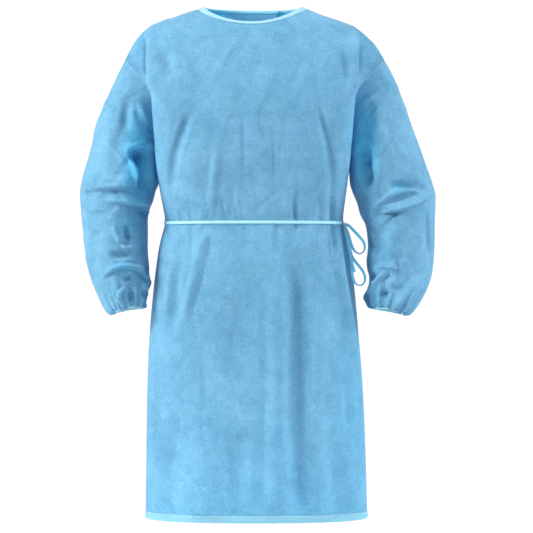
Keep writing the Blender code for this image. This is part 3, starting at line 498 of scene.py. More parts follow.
FOLDS = {
    "front": (
        (-220, -40, -217, -235, 0, 15, 11, 0.22, 0.3, 1.8, 0.6),
        (-240, -60, -236, -170, 0, 11, -9.5, 0.35, 0.35),
        (212, -45, 209, -235, 0, 15, 11, 0.22, 0.3, 1.8, -0.6),
        (233, -64, 229, -170, 0, 11, -9.5, 0.35, 0.35), (-129, -225, -184, -443, 15, 16, -6, 0.25, 0.35),
        (137, -216, 172, -443, -9, 16, -5.5, 0.25, 0.35), (-75, -277, -99, -483, 0, 14, 4, 0.4, 0.3),
        (-25, -234, -22, -391, 0, 9, -2.2, 0.4, 0.4), (41, -273, 43, -426, 0, 9, -2.4, 0.4, 0.4),
        (94, -382, 94, -535, 0, 12, -4.5, 0.45, 0.35, 2.0, 0.3),
        (175, -387, 181, -570, 0, 11, -9.5, 0.4, 0.35, 1.8, 0.5),
        (150, -382, 155, -492, 0, 11, 4, 0.5, 0.2), (-199, -76, -180, -181, 0, 22, -5.5, 0.4, 0.5),
        (190, -85, 209, -199, 0, 22, -5.5, 0.4, 0.5), (24, -59, 107, -212, 0, 12, 1.6, 0.3, 0.6),
        (-31, -63, -112, -216, 0, 12, 1.6, 0.3, 0.6), (6, -85, 4, -238, 0, 30, -3, 0.4, 0.5),
        (-103, -492, -160, -728, 1, 17, 8.5, 0.15, 0.4), (-169, -548, -184, -741, 0, 19, -10.5, 0.3, 0.4),
        (-25, -570, -31, -894, 0, 50, -7, 0.4, 0.4), (50, -522, 48, -1135, 0, 30, 8.5, 0.3, 0.1),
        (94, -492, 107, -1135, 4, 36, -10.5, 0.25, 0.1, 2.0, 0.2),
        (172, -500, 227, -855, 1, 13, 9.5, 0.12, 0.45, 1.6, -0.5),
        (124, -879, 170, -868, 0, 20, -4, 0.4, 0.4), (175, -911, 188, -1139, 0, 42, -8, 0.4, 0.08),
        (140, -653, 140, -1025, 0, 30, 5, 0.4, 0.4), (-105, -872, -112, -1139, 0, 50, 7, 0.4, 0.08),
        (-31, -916, -35, -1139, 0, 30, -5, 0.4, 0.08), (-184, -938, -182, -1139, 0, 36, -7, 0.4, 0.08),
        (-224, -653, -228, -1091, 0, 16, 4, 0.4, 0.4),
    ),
    "back": (
        (-125, -60, -168, -330, -10, 36, -8, 0.35, 0.4), (122, -60, 164, -340, 10, 36, -8, 0.35, 0.4),
        (-110, -240, -122, -470, 4, 30, 6, 0.4, 0.2), (112, -250, 126, -470, -4, 30, 6, 0.4, 0.2),
        (-125, -480, -135, -1200, 0, 44, -12, 0.3, 0.1), (120, -480, 128, -1200, 0, 42, -13, 0.3, 0.1),
        (-175, -500, -196, -1200, 0, 36, 9, 0.35, 0.1), (168, -500, 188, -1200, 0, 38, 9, 0.35, 0.1),
    ),
}
FOLDS = {side: named_rows(Fold, 7, rows) for side, rows in FOLDS.items()}
print("folds:", {side: len(rows) for side, rows in FOLDS.items()})


def fold_depth(folds, x, z):
    """How far the folds move a point outwards."""
    total = np.zeros(x.shape)
    for fold in folds:
        run = np.array([fold.x1 - fold.x0, fold.z1 - fold.z0])
        length = math.hypot(*run)
        along = ((x - fold.x0) * run[0] + (z - fold.z0) * run[1]) / length ** 2
        t = np.clip(along, 0, 1)
        across = ((x - fold.x0) * run[1] - (z - fold.z0) * run[0]) / length
        across = np.clip((across - fold.bow * 4 * t * (1 - t)) / fold.half_width, -1, 1)
        across = (across - fold.lean) / (1 - fold.lean * across)
        profile = (1 - across ** 2) ** fold.keen
        total += fold.depth * profile * smoothstep(t / fold.rise) * smoothstep((1 - t) / fold.fade)
    return total


# %% Small ripples between the folds
RIPPLE_SEED = 11
RIPPLE_BOW = 0.05  # as a share of its length
RIPPLE_KEEN = (1.6, 3.0)
LEAN = 0.4
PUCKER_X = 0.185  # how far from the middle the belt still draws the cloth in
PUCKER_GAP = 0.004
PUCKER_SLANT = 0.010
PUCKER_LENGTH = (0.035, 0.120)
PUCKER_HALF = (0.005, 0.011)
PUCKER_DEPTH = (0.0008, 0.0022)


def ripples(rng, count, x_range, z_range, length, half_width, depth, upright):
    """Small soft folds at random places; upright is how far from the vertical they may lean."""
    made = []
    for _ in range(count):
        x = rng.uniform(*x_range)
        z = rng.uniform(*z_range)
        turn = rng.normal(0, upright)
        run = rng.uniform(*length)
        dx = math.sin(turn) * run / 2
        dz = math.cos(turn) * run / 2
        made.append(Fold(
            x - dx, z + dz, x + dx, z - dz, bow=rng.normal(0, RIPPLE_BOW) * run,
            half_width=rng.uniform(*half_width), depth=rng.choice([-1, 1]) * rng.uniform(*depth),
            rise=0.5, fade=0.5, keen=rng.uniform(*RIPPLE_KEEN), lean=rng.uniform(-LEAN, LEAN)))
    return made


def belt_puckers(rng, count):
    """Short creases that fan out above and below the belt, where it draws the cloth in."""
    made = []
    for _ in range(count):
        x = rng.uniform(-PUCKER_X, PUCKER_X)
        way = rng.choice([-1, 1])
        start = BELT_TOP_Z if way > 0 else BELT_BOTTOM_Z
        run = rng.uniform(*PUCKER_LENGTH)
        made.append(Fold(
            x, start - way * PUCKER_GAP, x + rng.normal(0, PUCKER_SLANT), start + way * run, bow=0.0,
            half_width=rng.uniform(*PUCKER_HALF), depth=rng.choice([-1, 1]) * rng.uniform(*PUCKER_DEPTH),
            rise=0.15, fade=0.7, keen=2.2, lean=rng.uniform(-LEAN, LEAN)))
    return made


def small_folds(side):
    rng = np.random.default_rng(RIPPLE_SEED + len(side))
    made = ripples(
        rng, 60, x_range=(-0.22, 0.22), z_range=(-0.46, -0.05), length=(0.05, 0.16),
        half_width=(0.008, 0.022), depth=(0.0006, 0.0020), upright=0.5)
    made += ripples(
        rng, 70, x_range=(-0.24, 0.24), z_range=(-1.13, -0.50), length=(0.08, 0.30),
        half_width=(0.010, 0.028), depth=(0.0006, 0.0022), upright=0.22)
    return made + belt_puckers(rng, 34)


SMALL_FOLDS = {side: small_folds(side) for side in FOLDS}
print("small folds:", {side: len(rows) for side, rows in SMALL_FOLDS.items()})

# %% [markdown]
# ## Front and back panels
#
# The front is one piece. The back is two pieces that overlap down the middle, the right one on top, so
# that the gown can be put on from the front. The rows of each grid are level up to the armpit and then
# spread up to the neck edge, so the last row is the neck line itself. Close to each seam the columns
# crowd together, and the cloth turns in behind a faint ridge: two such edges side by side read as a
# sewn seam.

# %% Panel grids
CLOTH = 0.0006
BACK_OVERLAP = 0.060
UNDER_STEP = 0.0054
UNDER_RAMP = 0.045
UNDER_MARGIN = 0.006
BINDING_HEIGHT = 0.0075
HEM_ROWS = 4
LEVEL_ROWS = 178
ARMHOLE_ROWS = 44
SHOULDER_ROWS = 36
SHOULDER_SHARE = 0.97  # how far up to the neck edge the spread rows go
FRONT_COLUMNS = 86  # from the middle to each seam
BACK_COLUMNS = 104
EVEN_COLUMNS_END = 0.985
SEAM_COLUMNS = (0.988, 0.991, 0.994, 0.997, 1.0)
PANEL_HALF = 0.42  # metres from the middle to a seam, roughly
PANEL_ROUNDS = 10
CORNER_START = 0.90  # from this fraction on the drawn corners are kept
CORNER_RUN = 0.08
SEAM_TRIM = 0.0002
SEAM_TUCK = 0.0003
TUCK_WIDTH = 0.0030
SEAM_ROLL = 0.0008
ROLL_AT = 0.0038
ROLL_WIDTH = 0.0018
FOLD_MARGIN = 0.020  # near the seam the folds die out within this width
RIPPLE_MARGIN = 0.030


def row_heights(side, fraction):
    """Heights of a panel's points: level rows to the armpit, then rows that spread to the neck edge."""
    top = neck_heights(side, fraction)
    tip_share = (SHOULDER_TIP_Z - ARMPIT_Z) / -ARMPIT_Z
    shares = np.concatenate([
        np.linspace(0, tip_share, ARMHOLE_ROWS + 1),
        tip_share + (SHOULDER_SHARE - tip_share) * np.linspace(0, 1, SHOULDER_ROWS + 1)[1:],
    ])
    level = np.concatenate([
        np.linspace(HEM_Z, HEM_TOP_Z, HEM_ROWS + 1),
        np.linspace(HEM_TOP_Z, ARMPIT_Z, LEVEL_ROWS + 1)[1:-1],
    ])
    rows = [np.full(fraction.shape, z) for z in level]
    rows += [ARMPIT_Z + (top - ARMPIT_Z) * share for share in shares]
    edge = body_points(side, fraction, top)

    def under_binding(z):
        return np.linalg.norm(body_points(side, fraction, z) - edge, axis=1) < BINDING_HEIGHT

    binding_z = halved(rows[-1], top, 30, under_binding)
    rows += [binding_z, (binding_z + top) / 2, top]
    return np.array(rows), len(level)


def seam_fractions(side, fraction, z, free_edge):
    """Fractions trimmed at the seam, and on a back panel carried past the middle to its free edge."""
    line_x, line_y = slice_line(side, np.minimum(z.ravel(), 0.0))
    length = slice_lengths(line_x, line_y)[:, -1].reshape(z.shape)
    trimmed = 1 - SEAM_TRIM / length
    if not free_edge:
        return fraction * trimmed
    past = -BACK_OVERLAP / length
    return past + (trimmed - past) * fraction


def keep_seams(fraction):
    """The seams keep their drawn corners, such as the tip of the shoulder."""
    return smoothstep((np.abs(fraction) - CORNER_START) / CORNER_RUN)[..., None]


def finished_grid(side, fraction, z):
    """The panel with its folds, which die out at the seams so that neighbours still meet."""
    points = relax(body_points(side, fraction, z), PANEL_ROUNDS, keep_seams(fraction))
    seam_gap = (1 - np.abs(fraction)) * PANEL_HALF
    normal = grid_normals(points)
    x = points[..., 0]
    z = points[..., 2]
    half = np.abs(x - SHIFT_AT(z))
    seam = SHAPES[side]["seam_x"](z)
    broad = smoothstep((seam - half) / FOLD_MARGIN)
    fine = smoothstep(seam_gap / RIPPLE_MARGIN)
    move = FOLD_GAIN * fold_depth(FOLDS[side], x, z) * broad + fold_depth(SMALL_FOLDS[side], x, z) * fine
    move -= SEAM_TUCK * (1 - smoothstep(seam_gap / TUCK_WIDTH))
    move += SEAM_ROLL * np.exp(-((seam_gap - ROLL_AT) / ROLL_WIDTH) ** 2)
    return points + normal * move[..., None]


def front_grid():
    half = np.concatenate([np.linspace(0, EVEN_COLUMNS_END, FRONT_COLUMNS), SEAM_COLUMNS])
    fraction = np.concatenate([-half[:0:-1], half])
    z, level = row_heights("front", fraction)
    fraction = seam_fractions("front", np.tile(fraction, (len(z), 1)), z, False)
    return finished_grid("front", fraction, z), level


def back_grid(hand):
    """A back panel: hand is -1 for the left one, which lies under, and 1 for the right one on top."""
    share = np.concatenate([np.linspace(0, EVEN_COLUMNS_END, BACK_COLUMNS), SEAM_COLUMNS])
    z, _ = row_heights("back", share)
    fraction = hand * seam_fractions("back", np.tile(share, (len(z), 1)), z, True)
    if hand > 0:
        fraction = fraction[:, ::-1]
        z = z[:, ::-1]
    points = finished_grid("back", fraction, z)
    if hand < 0:
        inside = smoothstep((points[..., 0] + BACK_OVERLAP + UNDER_RAMP + UNDER_MARGIN) / UNDER_RAMP)
        level_way = unit(grid_normals(points) * (1.0, 1.0, 0.0))
        points = points - level_way * (UNDER_STEP * inside)[..., None]
    return points


def share_seam_normals(front_out, back_out, hand):
    """Where a front and a back meet, both walls go in the same way, so that neither cuts the other."""
    front_column = -1 if hand > 0 else 0
    back_column = 0 if hand > 0 else -1
    shared = unit(front_out[:, front_column] + back_out[:, back_column])
    for rows in (slice(None, ARMPIT_ROW + 1), slice(ARMPIT_ROW + ARMHOLE_ROWS, None)):
        front_out[rows, front_column] = shared[rows]
        back_out[rows, back_column] = shared[rows]


front, ARMPIT_ROW = front_grid()
under = back_grid(-1)
upper = back_grid(1)
front_out = grid_normals(front)
under_out = grid_normals(under)
upper_out = grid_normals(upper)
share_seam_normals(front_out, under_out, -1)
share_seam_normals(front_out, upper_out, 1)
print("front grid", front.shape[:2], "back grids", under.shape[:2])


# %% Panels
front_panel, back_left, back_right = (
    finished(cloth_shell(name, grid, out, CLOTH), node)
    for name, grid, out, node in (
        ("gown_front", front, front_out, "front_panel"),
        ("gown_back_left", under, under_out, "back_panel_left"),
        ("gown_back_right", upper, upper_out, "back_panel_right"),
    )
)

# %% [markdown]
# ## Sleeves
#
# Each sleeve is one wide piece, sewn into the dropped armhole and gathered at the wrist. It is built
# from rings: the first is the armhole itself, and the others are rounded rings whose ends are measured
# in the photograph. Long creases come from the table as on the body. The gathers at the cuff live in
# the sleeve's own terms, as a share of the way round and a station down, because they follow the
# elastic and not the view.

# %% Sleeve tables
# A ring's two ends as seen from the front, its depth to the front and the back, and where its middle is.
Station = namedtuple("Station", "outer_x outer_z inner_x inner_z front back middle_y")

SLEEVES = {
    "left": (
        (-288, -118, -208.5, -320, 46, 46, 0), (-313.6, -165, -216, -345, 70, 72, 2),
        (-332.6, -207, -215.5, -368, 78, 80, 3), (-351.7, -252, -214.5, -392, 81, 82, 4),
        (-370.7, -330, -221.5, -411, 82, 82, 5), (-386, -382, -227.5, -434, 81, 80, 5),
        (-391, -418, -236, -459, 80, 78, 3), (-386.5, -476, -238.6, -494, 77, 75, 0),
        (-381, -530, -238.6, -536, 73, 71, -6), (-375.2, -570, -236.3, -575, 68, 66, -13),
        (-364, -610, -232.5, -612, 61, 60, -20), (-346, -645, -239, -641, 51, 50, -27),
        (-320, -682, -245, -668, 36, 34, -32), (-308, -678, -248.5, -670, 26, 24, -35),
        (-307, -682.2, -249, -674.2, 25, 24, -36),
    ),
    "right": (
        (288, -118, 203, -320, 46, 46, 0), (316.5, -162, 212, -345, 70, 72, 2),
        (334.9, -207, 212.5, -368, 78, 80, 3), (350, -252, 213.5, -392, 82, 82, 4),
        (376, -325, 219.5, -413, 82, 81, 5), (395.4, -382, 230, -438, 84, 83, 5),
        (406, -425, 236.5, -463, 84, 82, 3), (404.3, -472, 249, -489, 81, 79, 0),
        (403, -530, 253.5, -530, 76, 74, -6), (400, -572, 249.8, -572, 71, 68, -13),
        (393.1, -610, 255, -605, 64, 62, -20), (378, -642, 251, -636, 54, 52, -27),
        (343, -687, 257, -666, 38, 36, -32), (330, -683, 265.5, -671.5, 27, 25, -35),
        (328.5, -687.2, 266, -675.7, 26, 25, -36),
    ),
}

SLEEVE_FOLDS = {
    "left": (
        (-281, -325, -232, -350, 0, 24, -16, 0.35, 0.35), (-243, -300, -243, -420, 0, 20, -15, 0.3, 0.3),
        (-284, -323, -257, -402, -5, 11, 7.5, 0.3, 0.4, 2.6), (-288, -316, -217, -312, 0, 14, 6, 0.4, 0.2),
        (-242, -276, -213, -270, 0, 11, -3.5, 0.4, 0.3), (-339, -385, -261, -398, 0, 20, 6, 0.4, 0.3),
        (-385, -409, -257, -400, 0, 12, 7, 0.15, 0.35, 2.4),
        (-334, -424, -231, -435, 0, 15, 10.5, 0.35, 0.15, 1.6, 0.5),
        (-258, -450, -220, -476, 0, 14, -4.5, 0.4, 0.2), (-376, -466, -314, -462, 0, 12, -4, 0.3, 0.4),
        (-314, -488, -295, -533, 0, 8, 6.5, 0.3, 0.3, 2.6),
        (-299, -528, -266, -528, 11, 8, 6, 0.3, 0.3, 2.4), (-286, -486, -277, -528, 0, 11, -7.5, 0.3, 0.3),
        (-326, -546, -266, -548, 10, 13, -6.5, 0.4, 0.4), (-368, -513, -332, -504, 0, 12, -3.5, 0.3, 0.4),
        (-339, -601, -228, -614, -38, 14, 10, 0.25, 0.25, 1.6, 0.5),
        (-323, -583, -250, -583, -11, 9, -6, 0.3, 0.3), (-295, -610, -266, -601, 0, 12, -5, 0.4, 0.4),
        (-284, -623, -295, -663, 8, 7, 6, 0.3, 0.3, 2.4), (-273, -625, -273, -661, 0, 10, -6, 0.4, 0.3),
        (-246, -614, -257, -663, -8, 8, 5.5, 0.3, 0.3, 2.4),
        (-262, -592, -213, -592, 0, 13, -4.2, 0.4, 0.1), (-262, -640, -213, -638, 0, 12, -4.8, 0.4, 0.1),
        (-255, -568, -217, -568, 0, 16, 2.4, 0.4, 0.1), (-255, -619, -217, -619, 0, 14, 3.6, 0.4, 0.1),
        (-306, -223, -332, -356, 0, 24, 4.5, 0.4, 0.4), (-279, -190, -288, -301, 0, 16, -4.5, 0.4, 0.4),
    ),
    "right": (
        (234, -305, 258, -411, 0, 22, -16.5, 0.25, 0.3), (234, -358, 250, -345, 0, 14, -6, 0.3, 0.3),
        (264, -314, 267, -416, 0, 16, 5.5, 0.4, 0.3), (260, -451, 322, -407, 0, 10, 7, 0.3, 0.4, 2.4),
        (258, -453, 399, -409, 13, 13, 10.5, 0.2, 0.15, 1.6, 0.5),
        (286, -440, 375, -411, 0, 10, -5, 0.4, 0.3),
        (286, -398, 388, -400, 0, 14, -6.5, 0.4, 0.2, 2.0, 0.3),
        (256, -466, 326, -473, -12, 13, -8.5, 0.3, 0.3), (302, -482, 302, -566, 0, 20, 6, 0.4, 0.3),
        (269, -486, 269, -561, 0, 13, -5, 0.4, 0.4), (271, -572, 320, -579, 0, 11, 6.5, 0.3, 0.3, 1.6, 0.5),
        (298, -586, 258, -628, 0, 9, 7.5, 0.3, 0.3, 2.4), (284, -617, 328, -612, 0, 15, 6, 0.4, 0.4),
        (273, -636, 304, -645, 0, 10, -5.5, 0.4, 0.4),
        (395, -579, 295, -670, 3, 13, 8.5, 0.25, 0.25, 1.6, -0.5),
        (315, -159, 397, -398, 0, 10, -5, 0.3, 0.2), (381, -440, 388, -570, 0, 7, -3.5, 0.3, 0.3),
        (366, -460, 362, -570, 0, 16, 4, 0.4, 0.4), (240, -601, 275, -601, 0, 13, -4.2, 0.1, 0.4),
        (236, -634, 270, -632, 0, 14, 3.6, 0.1, 0.4), (238, -535, 270, -537, 0, 14, -2.8, 0.1, 0.4),
        (225, -230, 295, -177, 0, 12, 4, 0.3, 0.5), (269, -208, 286, -323, 0, 20, 4, 0.4, 0.4),
        (238, -252, 260, -323, 0, 14, -5, 0.3, 0.4),
    ),
}
SLEEVE_FOLDS = {name: named_rows(Fold, 7, rows) for name, rows in SLEEVE_FOLDS.items()}
print("sleeve creases:", {name: len(rows) for name, rows in SLEEVE_FOLDS.items()})

SLEEVE_COLUMNS = 190
SLEEVE_ROWS = 240
SLEEVE_ROUNDS = 8
CUFF_ROWS = 5
# Places down a sleeve are in stations, as in the table.
CUFF_STATION = 13.0
LAST_STATION = 14.0
CUFF_TILT = (10, 3)  # where the cuff's tilt starts, and over how many stations it grows
ARMHOLE_BLEND = 3.0
ARMHOLE_TUCK = 2.0  # in seam tucks
ARMHOLE_TUCK_RUN = 0.16
CREASE_START = 1.5  # how far from the armhole the creases are at full depth
CREASE_END = 1.0  # and how far from the cuff
CONTOUR_SHARE = 0.30  # what is left of a crease where the sleeve turns out of sight
CONTOUR_WIDTH = 0.55
FACING_WIDTH = 0.6  # how softly the folds of the front give way to those behind
CUFF_RISE = 0.0065  # how much higher the front of a cuff hangs than its two ends
CUFF_DIP = -0.0015  # and how much higher its back hangs
GATHERS = 19
GATHER_SEED = {"left": 5, "right": 8}
GATHER_PLACE = 0.28  # how uneven the places and half widths are, in gathers
GATHER_HALF = (0.34, 0.60)
GATHER_REACH = (2.2, 4.8)
GATHER_DEPTH = (0.0030, 0.0090)
GATHER_DRIFT = 0.012
GATHER_SWELL = 0.10  # how much wider a pucker gets with each station up the sleeve
GATHER_GROWTH = 0.65  # a pucker is at its full depth this share of the way to the cuff
GATHER_DROP = 0.0022
GATHER_DROP_AT = (9.5, 3.0)
CUFF_FLATTENS = 0.75  # the share of the puckers that the elastic's casing takes away
CUFF_FLATTENS_IN = 0.35
BEHIND_SHARE = 0.8  # the back of a sleeve has the same folds, softer and a bit higher
BEHIND_RISE = 0.015
RIPPLE_BEHIND_SCALE = 1.04
RIPPLE_BEHIND_RISE = 0.05


# %% Gathers and sleeves
def gather_depth(rng, turn, station):
    """Uneven puckers round the cuff: each has its own place, width, length and depth."""
    total = np.zeros(np.broadcast(turn, station).shape)
    for k in range(GATHERS):
        centre = (k + rng.uniform(-GATHER_PLACE, GATHER_PLACE)) / GATHERS
        half = rng.uniform(*GATHER_HALF) / GATHERS
        start = CUFF_STATION - rng.uniform(*GATHER_REACH)
        depth = rng.uniform(*GATHER_DEPTH)
        drift = rng.normal(0, GATHER_DRIFT)
        away = (turn - centre - drift * (CUFF_STATION - station) + 0.5) % 1 - 0.5
        swell = 1 + GATHER_SWELL * np.clip(CUFF_STATION - station, 0, 4)
        profile = np.clip(1 - (away / (half * swell)) ** 2, 0, 1) ** 2
        total += depth * profile * smoothstep((station - start) / (GATHER_GROWTH * (CUFF_STATION - start)))
    return total - GATHER_DROP * smoothstep((station - GATHER_DROP_AT[0]) / GATHER_DROP_AT[1])


def armhole_loop(front, back, hand):
    """The seam loop of a sleeve: up the front from the armpit to the shoulder tip and down the back."""
    first = ARMPIT_ROW
    last = first + ARMHOLE_ROWS
    front_column = front[first:last + 1, -1 if hand > 0 else 0]
    back_column = back[first:last + 1, 0 if hand > 0 else -1]
    armpit = (front_column[0] + back_column[0]) / 2
    tip = (front_column[-1] + back_column[-1]) / 2
    return np.vstack([armpit, front_column[1:-1], tip, back_column[-2:0:-1], armpit])


def sleeve_small_folds(name):
    rng = np.random.default_rng(GATHER_SEED[name] + 40)
    hand = 1 if name == "right" else -1
    made = ripples(
        rng, 46, x_range=(0.24, 0.39), z_range=(-0.64, -0.14), length=(0.04, 0.12),
        half_width=(0.008, 0.020), depth=(0.0012, 0.0034), upright=1.0)
    return [row._replace(x0=hand * row.x0, x1=hand * row.x1) for row in made]


def sleeve_grid(name, loop, hand):
    """Rings down a sleeve: the armhole's shape gives way to rounded rings, with puckers at the cuff."""
    stations = named_rows(Station, 7, SLEEVES[name])
    index = np.arange(len(stations))
    levels = np.concatenate([
        np.linspace(0, CUFF_STATION, SLEEVE_ROWS)[:-1],
        np.linspace(CUFF_STATION, LAST_STATION, CUFF_ROWS + 1),
    ])
    rows = {
        column: smooth_curve(index, [getattr(row, column) for row in stations])(levels)
        for column in Station._fields
    }
    turn = np.linspace(0, 1, SLEEVE_COLUMNS + 1)[:-1]
    run = run_along(loop)
    start = np.stack([np.interp(turn * run[-1], run, loop[:, k]) for k in range(3)], axis=1)
    zero = np.zeros(len(levels))
    outer = np.stack([rows["outer_x"], zero, rows["outer_z"]], axis=1)
    inner = np.stack([rows["inner_x"], zero, rows["inner_z"]], axis=1)
    middle = (outer + inner) / 2
    middle[:, 1] += rows["middle_y"]
    swing = np.sin(2 * math.pi * turn)
    reach = -np.cos(2 * math.pi * turn)
    depth = np.where(swing[None] > 0, rows["front"][:, None], rows["back"][:, None])
    rings = middle[:, None] + (outer - inner)[:, None] / 2 * reach[None, :, None]
    rings[..., 1] -= depth * swing[None]
    tilt = np.where(swing > 0, CUFF_RISE * swing, CUFF_DIP * swing)
    rings[..., 2] += smoothstep((levels - CUFF_TILT[0]) / CUFF_TILT[1])[:, None] * tilt[None]
    hold = (np.clip(1 - levels / ARMHOLE_BLEND, 0, 1) ** 2)[:, None, None]
    grid = relax(start[None] * hold + rings * (1 - hold), SLEEVE_ROUNDS)
    normal = -hand * grid_normals(grid, closed=True)
    level = levels[:, None]
    rng = np.random.default_rng(GATHER_SEED[name])
    puckers = gather_depth(rng, turn[None], level)
    near_cuff = smoothstep((level - CUFF_STATION + CUFF_FLATTENS_IN) / CUFF_FLATTENS_IN)
    puckers = puckers * (1 - CUFF_FLATTENS * near_cuff)
    outline = CONTOUR_SHARE + (1 - CONTOUR_SHARE) * smoothstep(np.abs(normal[..., 1]) / CONTOUR_WIDTH)
    facing = smoothstep(0.5 - normal[..., 1] / FACING_WIDTH)
    away = 1 - facing
    x = grid[..., 0]
    z = grid[..., 2]
    creases = fold_depth(SLEEVE_FOLDS[name], x, z) * facing
    creases += BEHIND_SHARE * fold_depth(SLEEVE_FOLDS[name], x, z + BEHIND_RISE) * away
    small = sleeve_small_folds(name)
    ripple = fold_depth(small, x, z) * facing
    ripple += fold_depth(small, x * RIPPLE_BEHIND_SCALE, z + RIPPLE_BEHIND_RISE) * away
    fade = smoothstep(level / CREASE_START) * smoothstep((CUFF_STATION - level) / CREASE_END)
    move = puckers + (CREASE_GAIN * creases + RIPPLE_GAIN * ripple) * fade * outline
    move -= ARMHOLE_TUCK * SEAM_TUCK * (1 - smoothstep(level / ARMHOLE_TUCK_RUN))
    return grid + normal * move[..., None]


sleeve_ends = {}
sleeves = {}
for name, back, hand in (("left", under, -1), ("right", upper, 1)):
    grid = sleeve_grid(name, armhole_loop(front, back, hand), hand)
    if hand > 0:
        grid = grid[:, ::-1]
    out = grid_normals(grid, closed=True)
    sleeves[name] = finished(cloth_shell("gown_sleeve_" + name, grid, out, CLOTH, closed=True),
                             "sleeve_" + name)
    sleeve_ends[name] = (grid[-CUFF_ROWS - 1:], out[-CUFF_ROWS - 1:])

# %% [markdown]
# ## Hems, neck binding and cuffs
#
# Three edges are finished in the same way: a strip is folded over the edge of the cloth and sewn down.
# So one helper makes them all. It takes the rows of the cloth that the strip covers, goes down their
# outside, round the edge and up the inside, and keeps a hair of air between strip and cloth. A small
# swell along the middle of the strip gives it the soft roll that a bias binding has.

# %% Folded strips
STRIP_AIR = 0.0003
INSIDE_SHARE = 0.6  # the inside of a strip swells less than its outside
SWELL_ROUNDNESS = 0.7
RIM_ANGLES = (60, 20, -20, -60)
NECK_STRIP = (0.0007, 0.0006)  # wall and swell of each strip
HEM_STRIP = (0.0006, 0.0002)
CUFF_STRIP = (0.0006, 0.0005)


def folded_strip(name, rows, normals, wall, swell, closed):
    """A strip over an edge: rows run from where it ends on the cloth to the cloth's own edge."""
    count = len(rows)
    away = unit(rows[-1] - rows[-2])
    lift = STRIP_AIR + swell * np.sin(np.linspace(0, math.pi, count))[:, None, None] ** SWELL_ROUNDNESS
    outside = rows + normals * (lift + wall)
    inside = rows - normals * (lift * INSIDE_SHARE + CLOTH + wall)
    outside_in = rows + normals * lift
    inside_in = rows - normals * (lift * INSIDE_SHARE + CLOTH)
    edge = rows[-1]
    edge_out = normals[-1]
    rim = []
    rim_in = []
    middle = edge - edge_out * (CLOTH / 2)
    radius = CLOTH / 2 + STRIP_AIR + wall
    for angle in np.radians(RIM_ANGLES):
        direction = edge_out * math.sin(angle) + away * math.cos(angle)
        rim.append(middle + direction * radius)
        rim_in.append(middle + direction * (radius - wall))
    loop = np.concatenate([outside, rim, inside[::-1], inside_in, rim_in[::-1], outside_in[::-1]])
    return tube(name, np.swapaxes(loop, 0, 1), closed=closed)


for name, (wall, swell) in (("neck", NECK_STRIP), ("hem", HEM_STRIP), ("cuff", CUFF_STRIP)):
    print(name, "strip: wall", round(1000 * wall, 2), "mm, swell", round(1000 * swell, 2), "mm")

# %% Neck binding, hems and cuffs
runs = [(under, under_out), (front, front_out), (upper, upper_out)]
NECK_ROWS = 3
neck_line, neck_out = (
    np.concatenate([left[-NECK_ROWS:, :-1], middle[-NECK_ROWS:], right[-NECK_ROWS:, 1:]], axis=1)
    for left, middle, right in zip(*runs)
)
binding = finished(folded_strip("neck_strip", neck_line, neck_out, *NECK_STRIP, False),
                   "neck_binding")

hems = {}
for place, (grid, out) in zip(("back_left", "front", "back_right"), runs):
    rows = grid[HEM_ROWS::-1]
    strip = folded_strip("hem_strip_" + place, rows, out[HEM_ROWS::-1], *HEM_STRIP, False)
    hems[place] = finished(strip, "hem_" + place)

cuffs = {}
for name, (rows, out) in sleeve_ends.items():
    strip = folded_strip("cuff_strip_" + name, rows, out, *CUFF_STRIP, True)
    cuffs[name] = finished(strip, "cuff_" + name)

# %% [markdown]
# ## Belt and knot
#
# The belt is one flat tape round the waist. It lies on the ridges of the cloth and bridges the troughs,
# so its line is the cloth's own outline at that height, raised to the ridges beside each point. The
# knot is the same tape wound over itself: a few turns round a small core.

# %% Belt
BELT_LIFT = 0.0005
BRIDGE = 0.020
BELT_REACH = 0.0065
BELT_STEPS = 140


def belt_line():
    """The outline of the cloth at the belt, once round from the left side seam, and its directions."""
    middle = (BELT_TOP_Z + BELT_BOTTOM_Z) / 2
    half = np.linspace(0, 1, BELT_STEPS)
    around = []
    for side, fraction in (("front", np.concatenate([-half[:0:-1], half])[:-1]),
                           ("back", np.concatenate([half[:0:-1], -half])[:-1])):
        around.append(body_points(side, fraction, np.full(fraction.shape, middle)))
    line = np.vstack(around)
    along = unit(np.roll(line, -1, axis=0) - np.roll(line, 1, axis=0))
    out = np.stack([along[:, 1], -along[:, 0], np.zeros(len(line))], axis=1)
    cloth = np.concatenate([grid.reshape(-1, 3) for grid in (front, under, upper)])
    cloth = cloth[np.abs(cloth[:, 2] - middle) < BELT_REACH]
    away = np.linalg.norm(cloth[:, None, :2] - line[None, :, :2], axis=2)
    nearest = away.argmin(axis=1)
    raised = np.zeros(len(line))
    np.maximum.at(raised, nearest, ((cloth - line[nearest]) * out[nearest]).sum(axis=1))
    step = np.linalg.norm(np.roll(line, -1, axis=0) - line, axis=1).mean()
    reach = int(BRIDGE / step)
    raised = np.max([np.roll(raised, shift) for shift in range(-reach, reach + 1)], axis=0)
    for _ in range(reach * 2):
        raised = (np.roll(raised, 1) + 2 * raised + np.roll(raised, -1)) / 4
    return line + out * (BELT_LIFT + raised + TAPE / 2)[:, None], out


line, out = belt_line()
up = np.broadcast_to(np.array([0.0, 0.0, 1.0]), line.shape)
belt_sections = flat_section(line, up, out, BELT_TOP_Z - BELT_BOTTOM_Z, TAPE)
belt = finished(tube("waist_tape", belt_sections, closed=True), "waist_belt")

# %% Knot
KNOT_CENTRE = np.array([0.1990, -0.0350, -0.4850])
KNOT_SIZE = np.array([0.0080, 0.0140, 0.0095])
KNOT_TURNS = 3
KNOT_STEPS = 40
KNOT_TILT = 38  # degrees, first one way and at the end the other
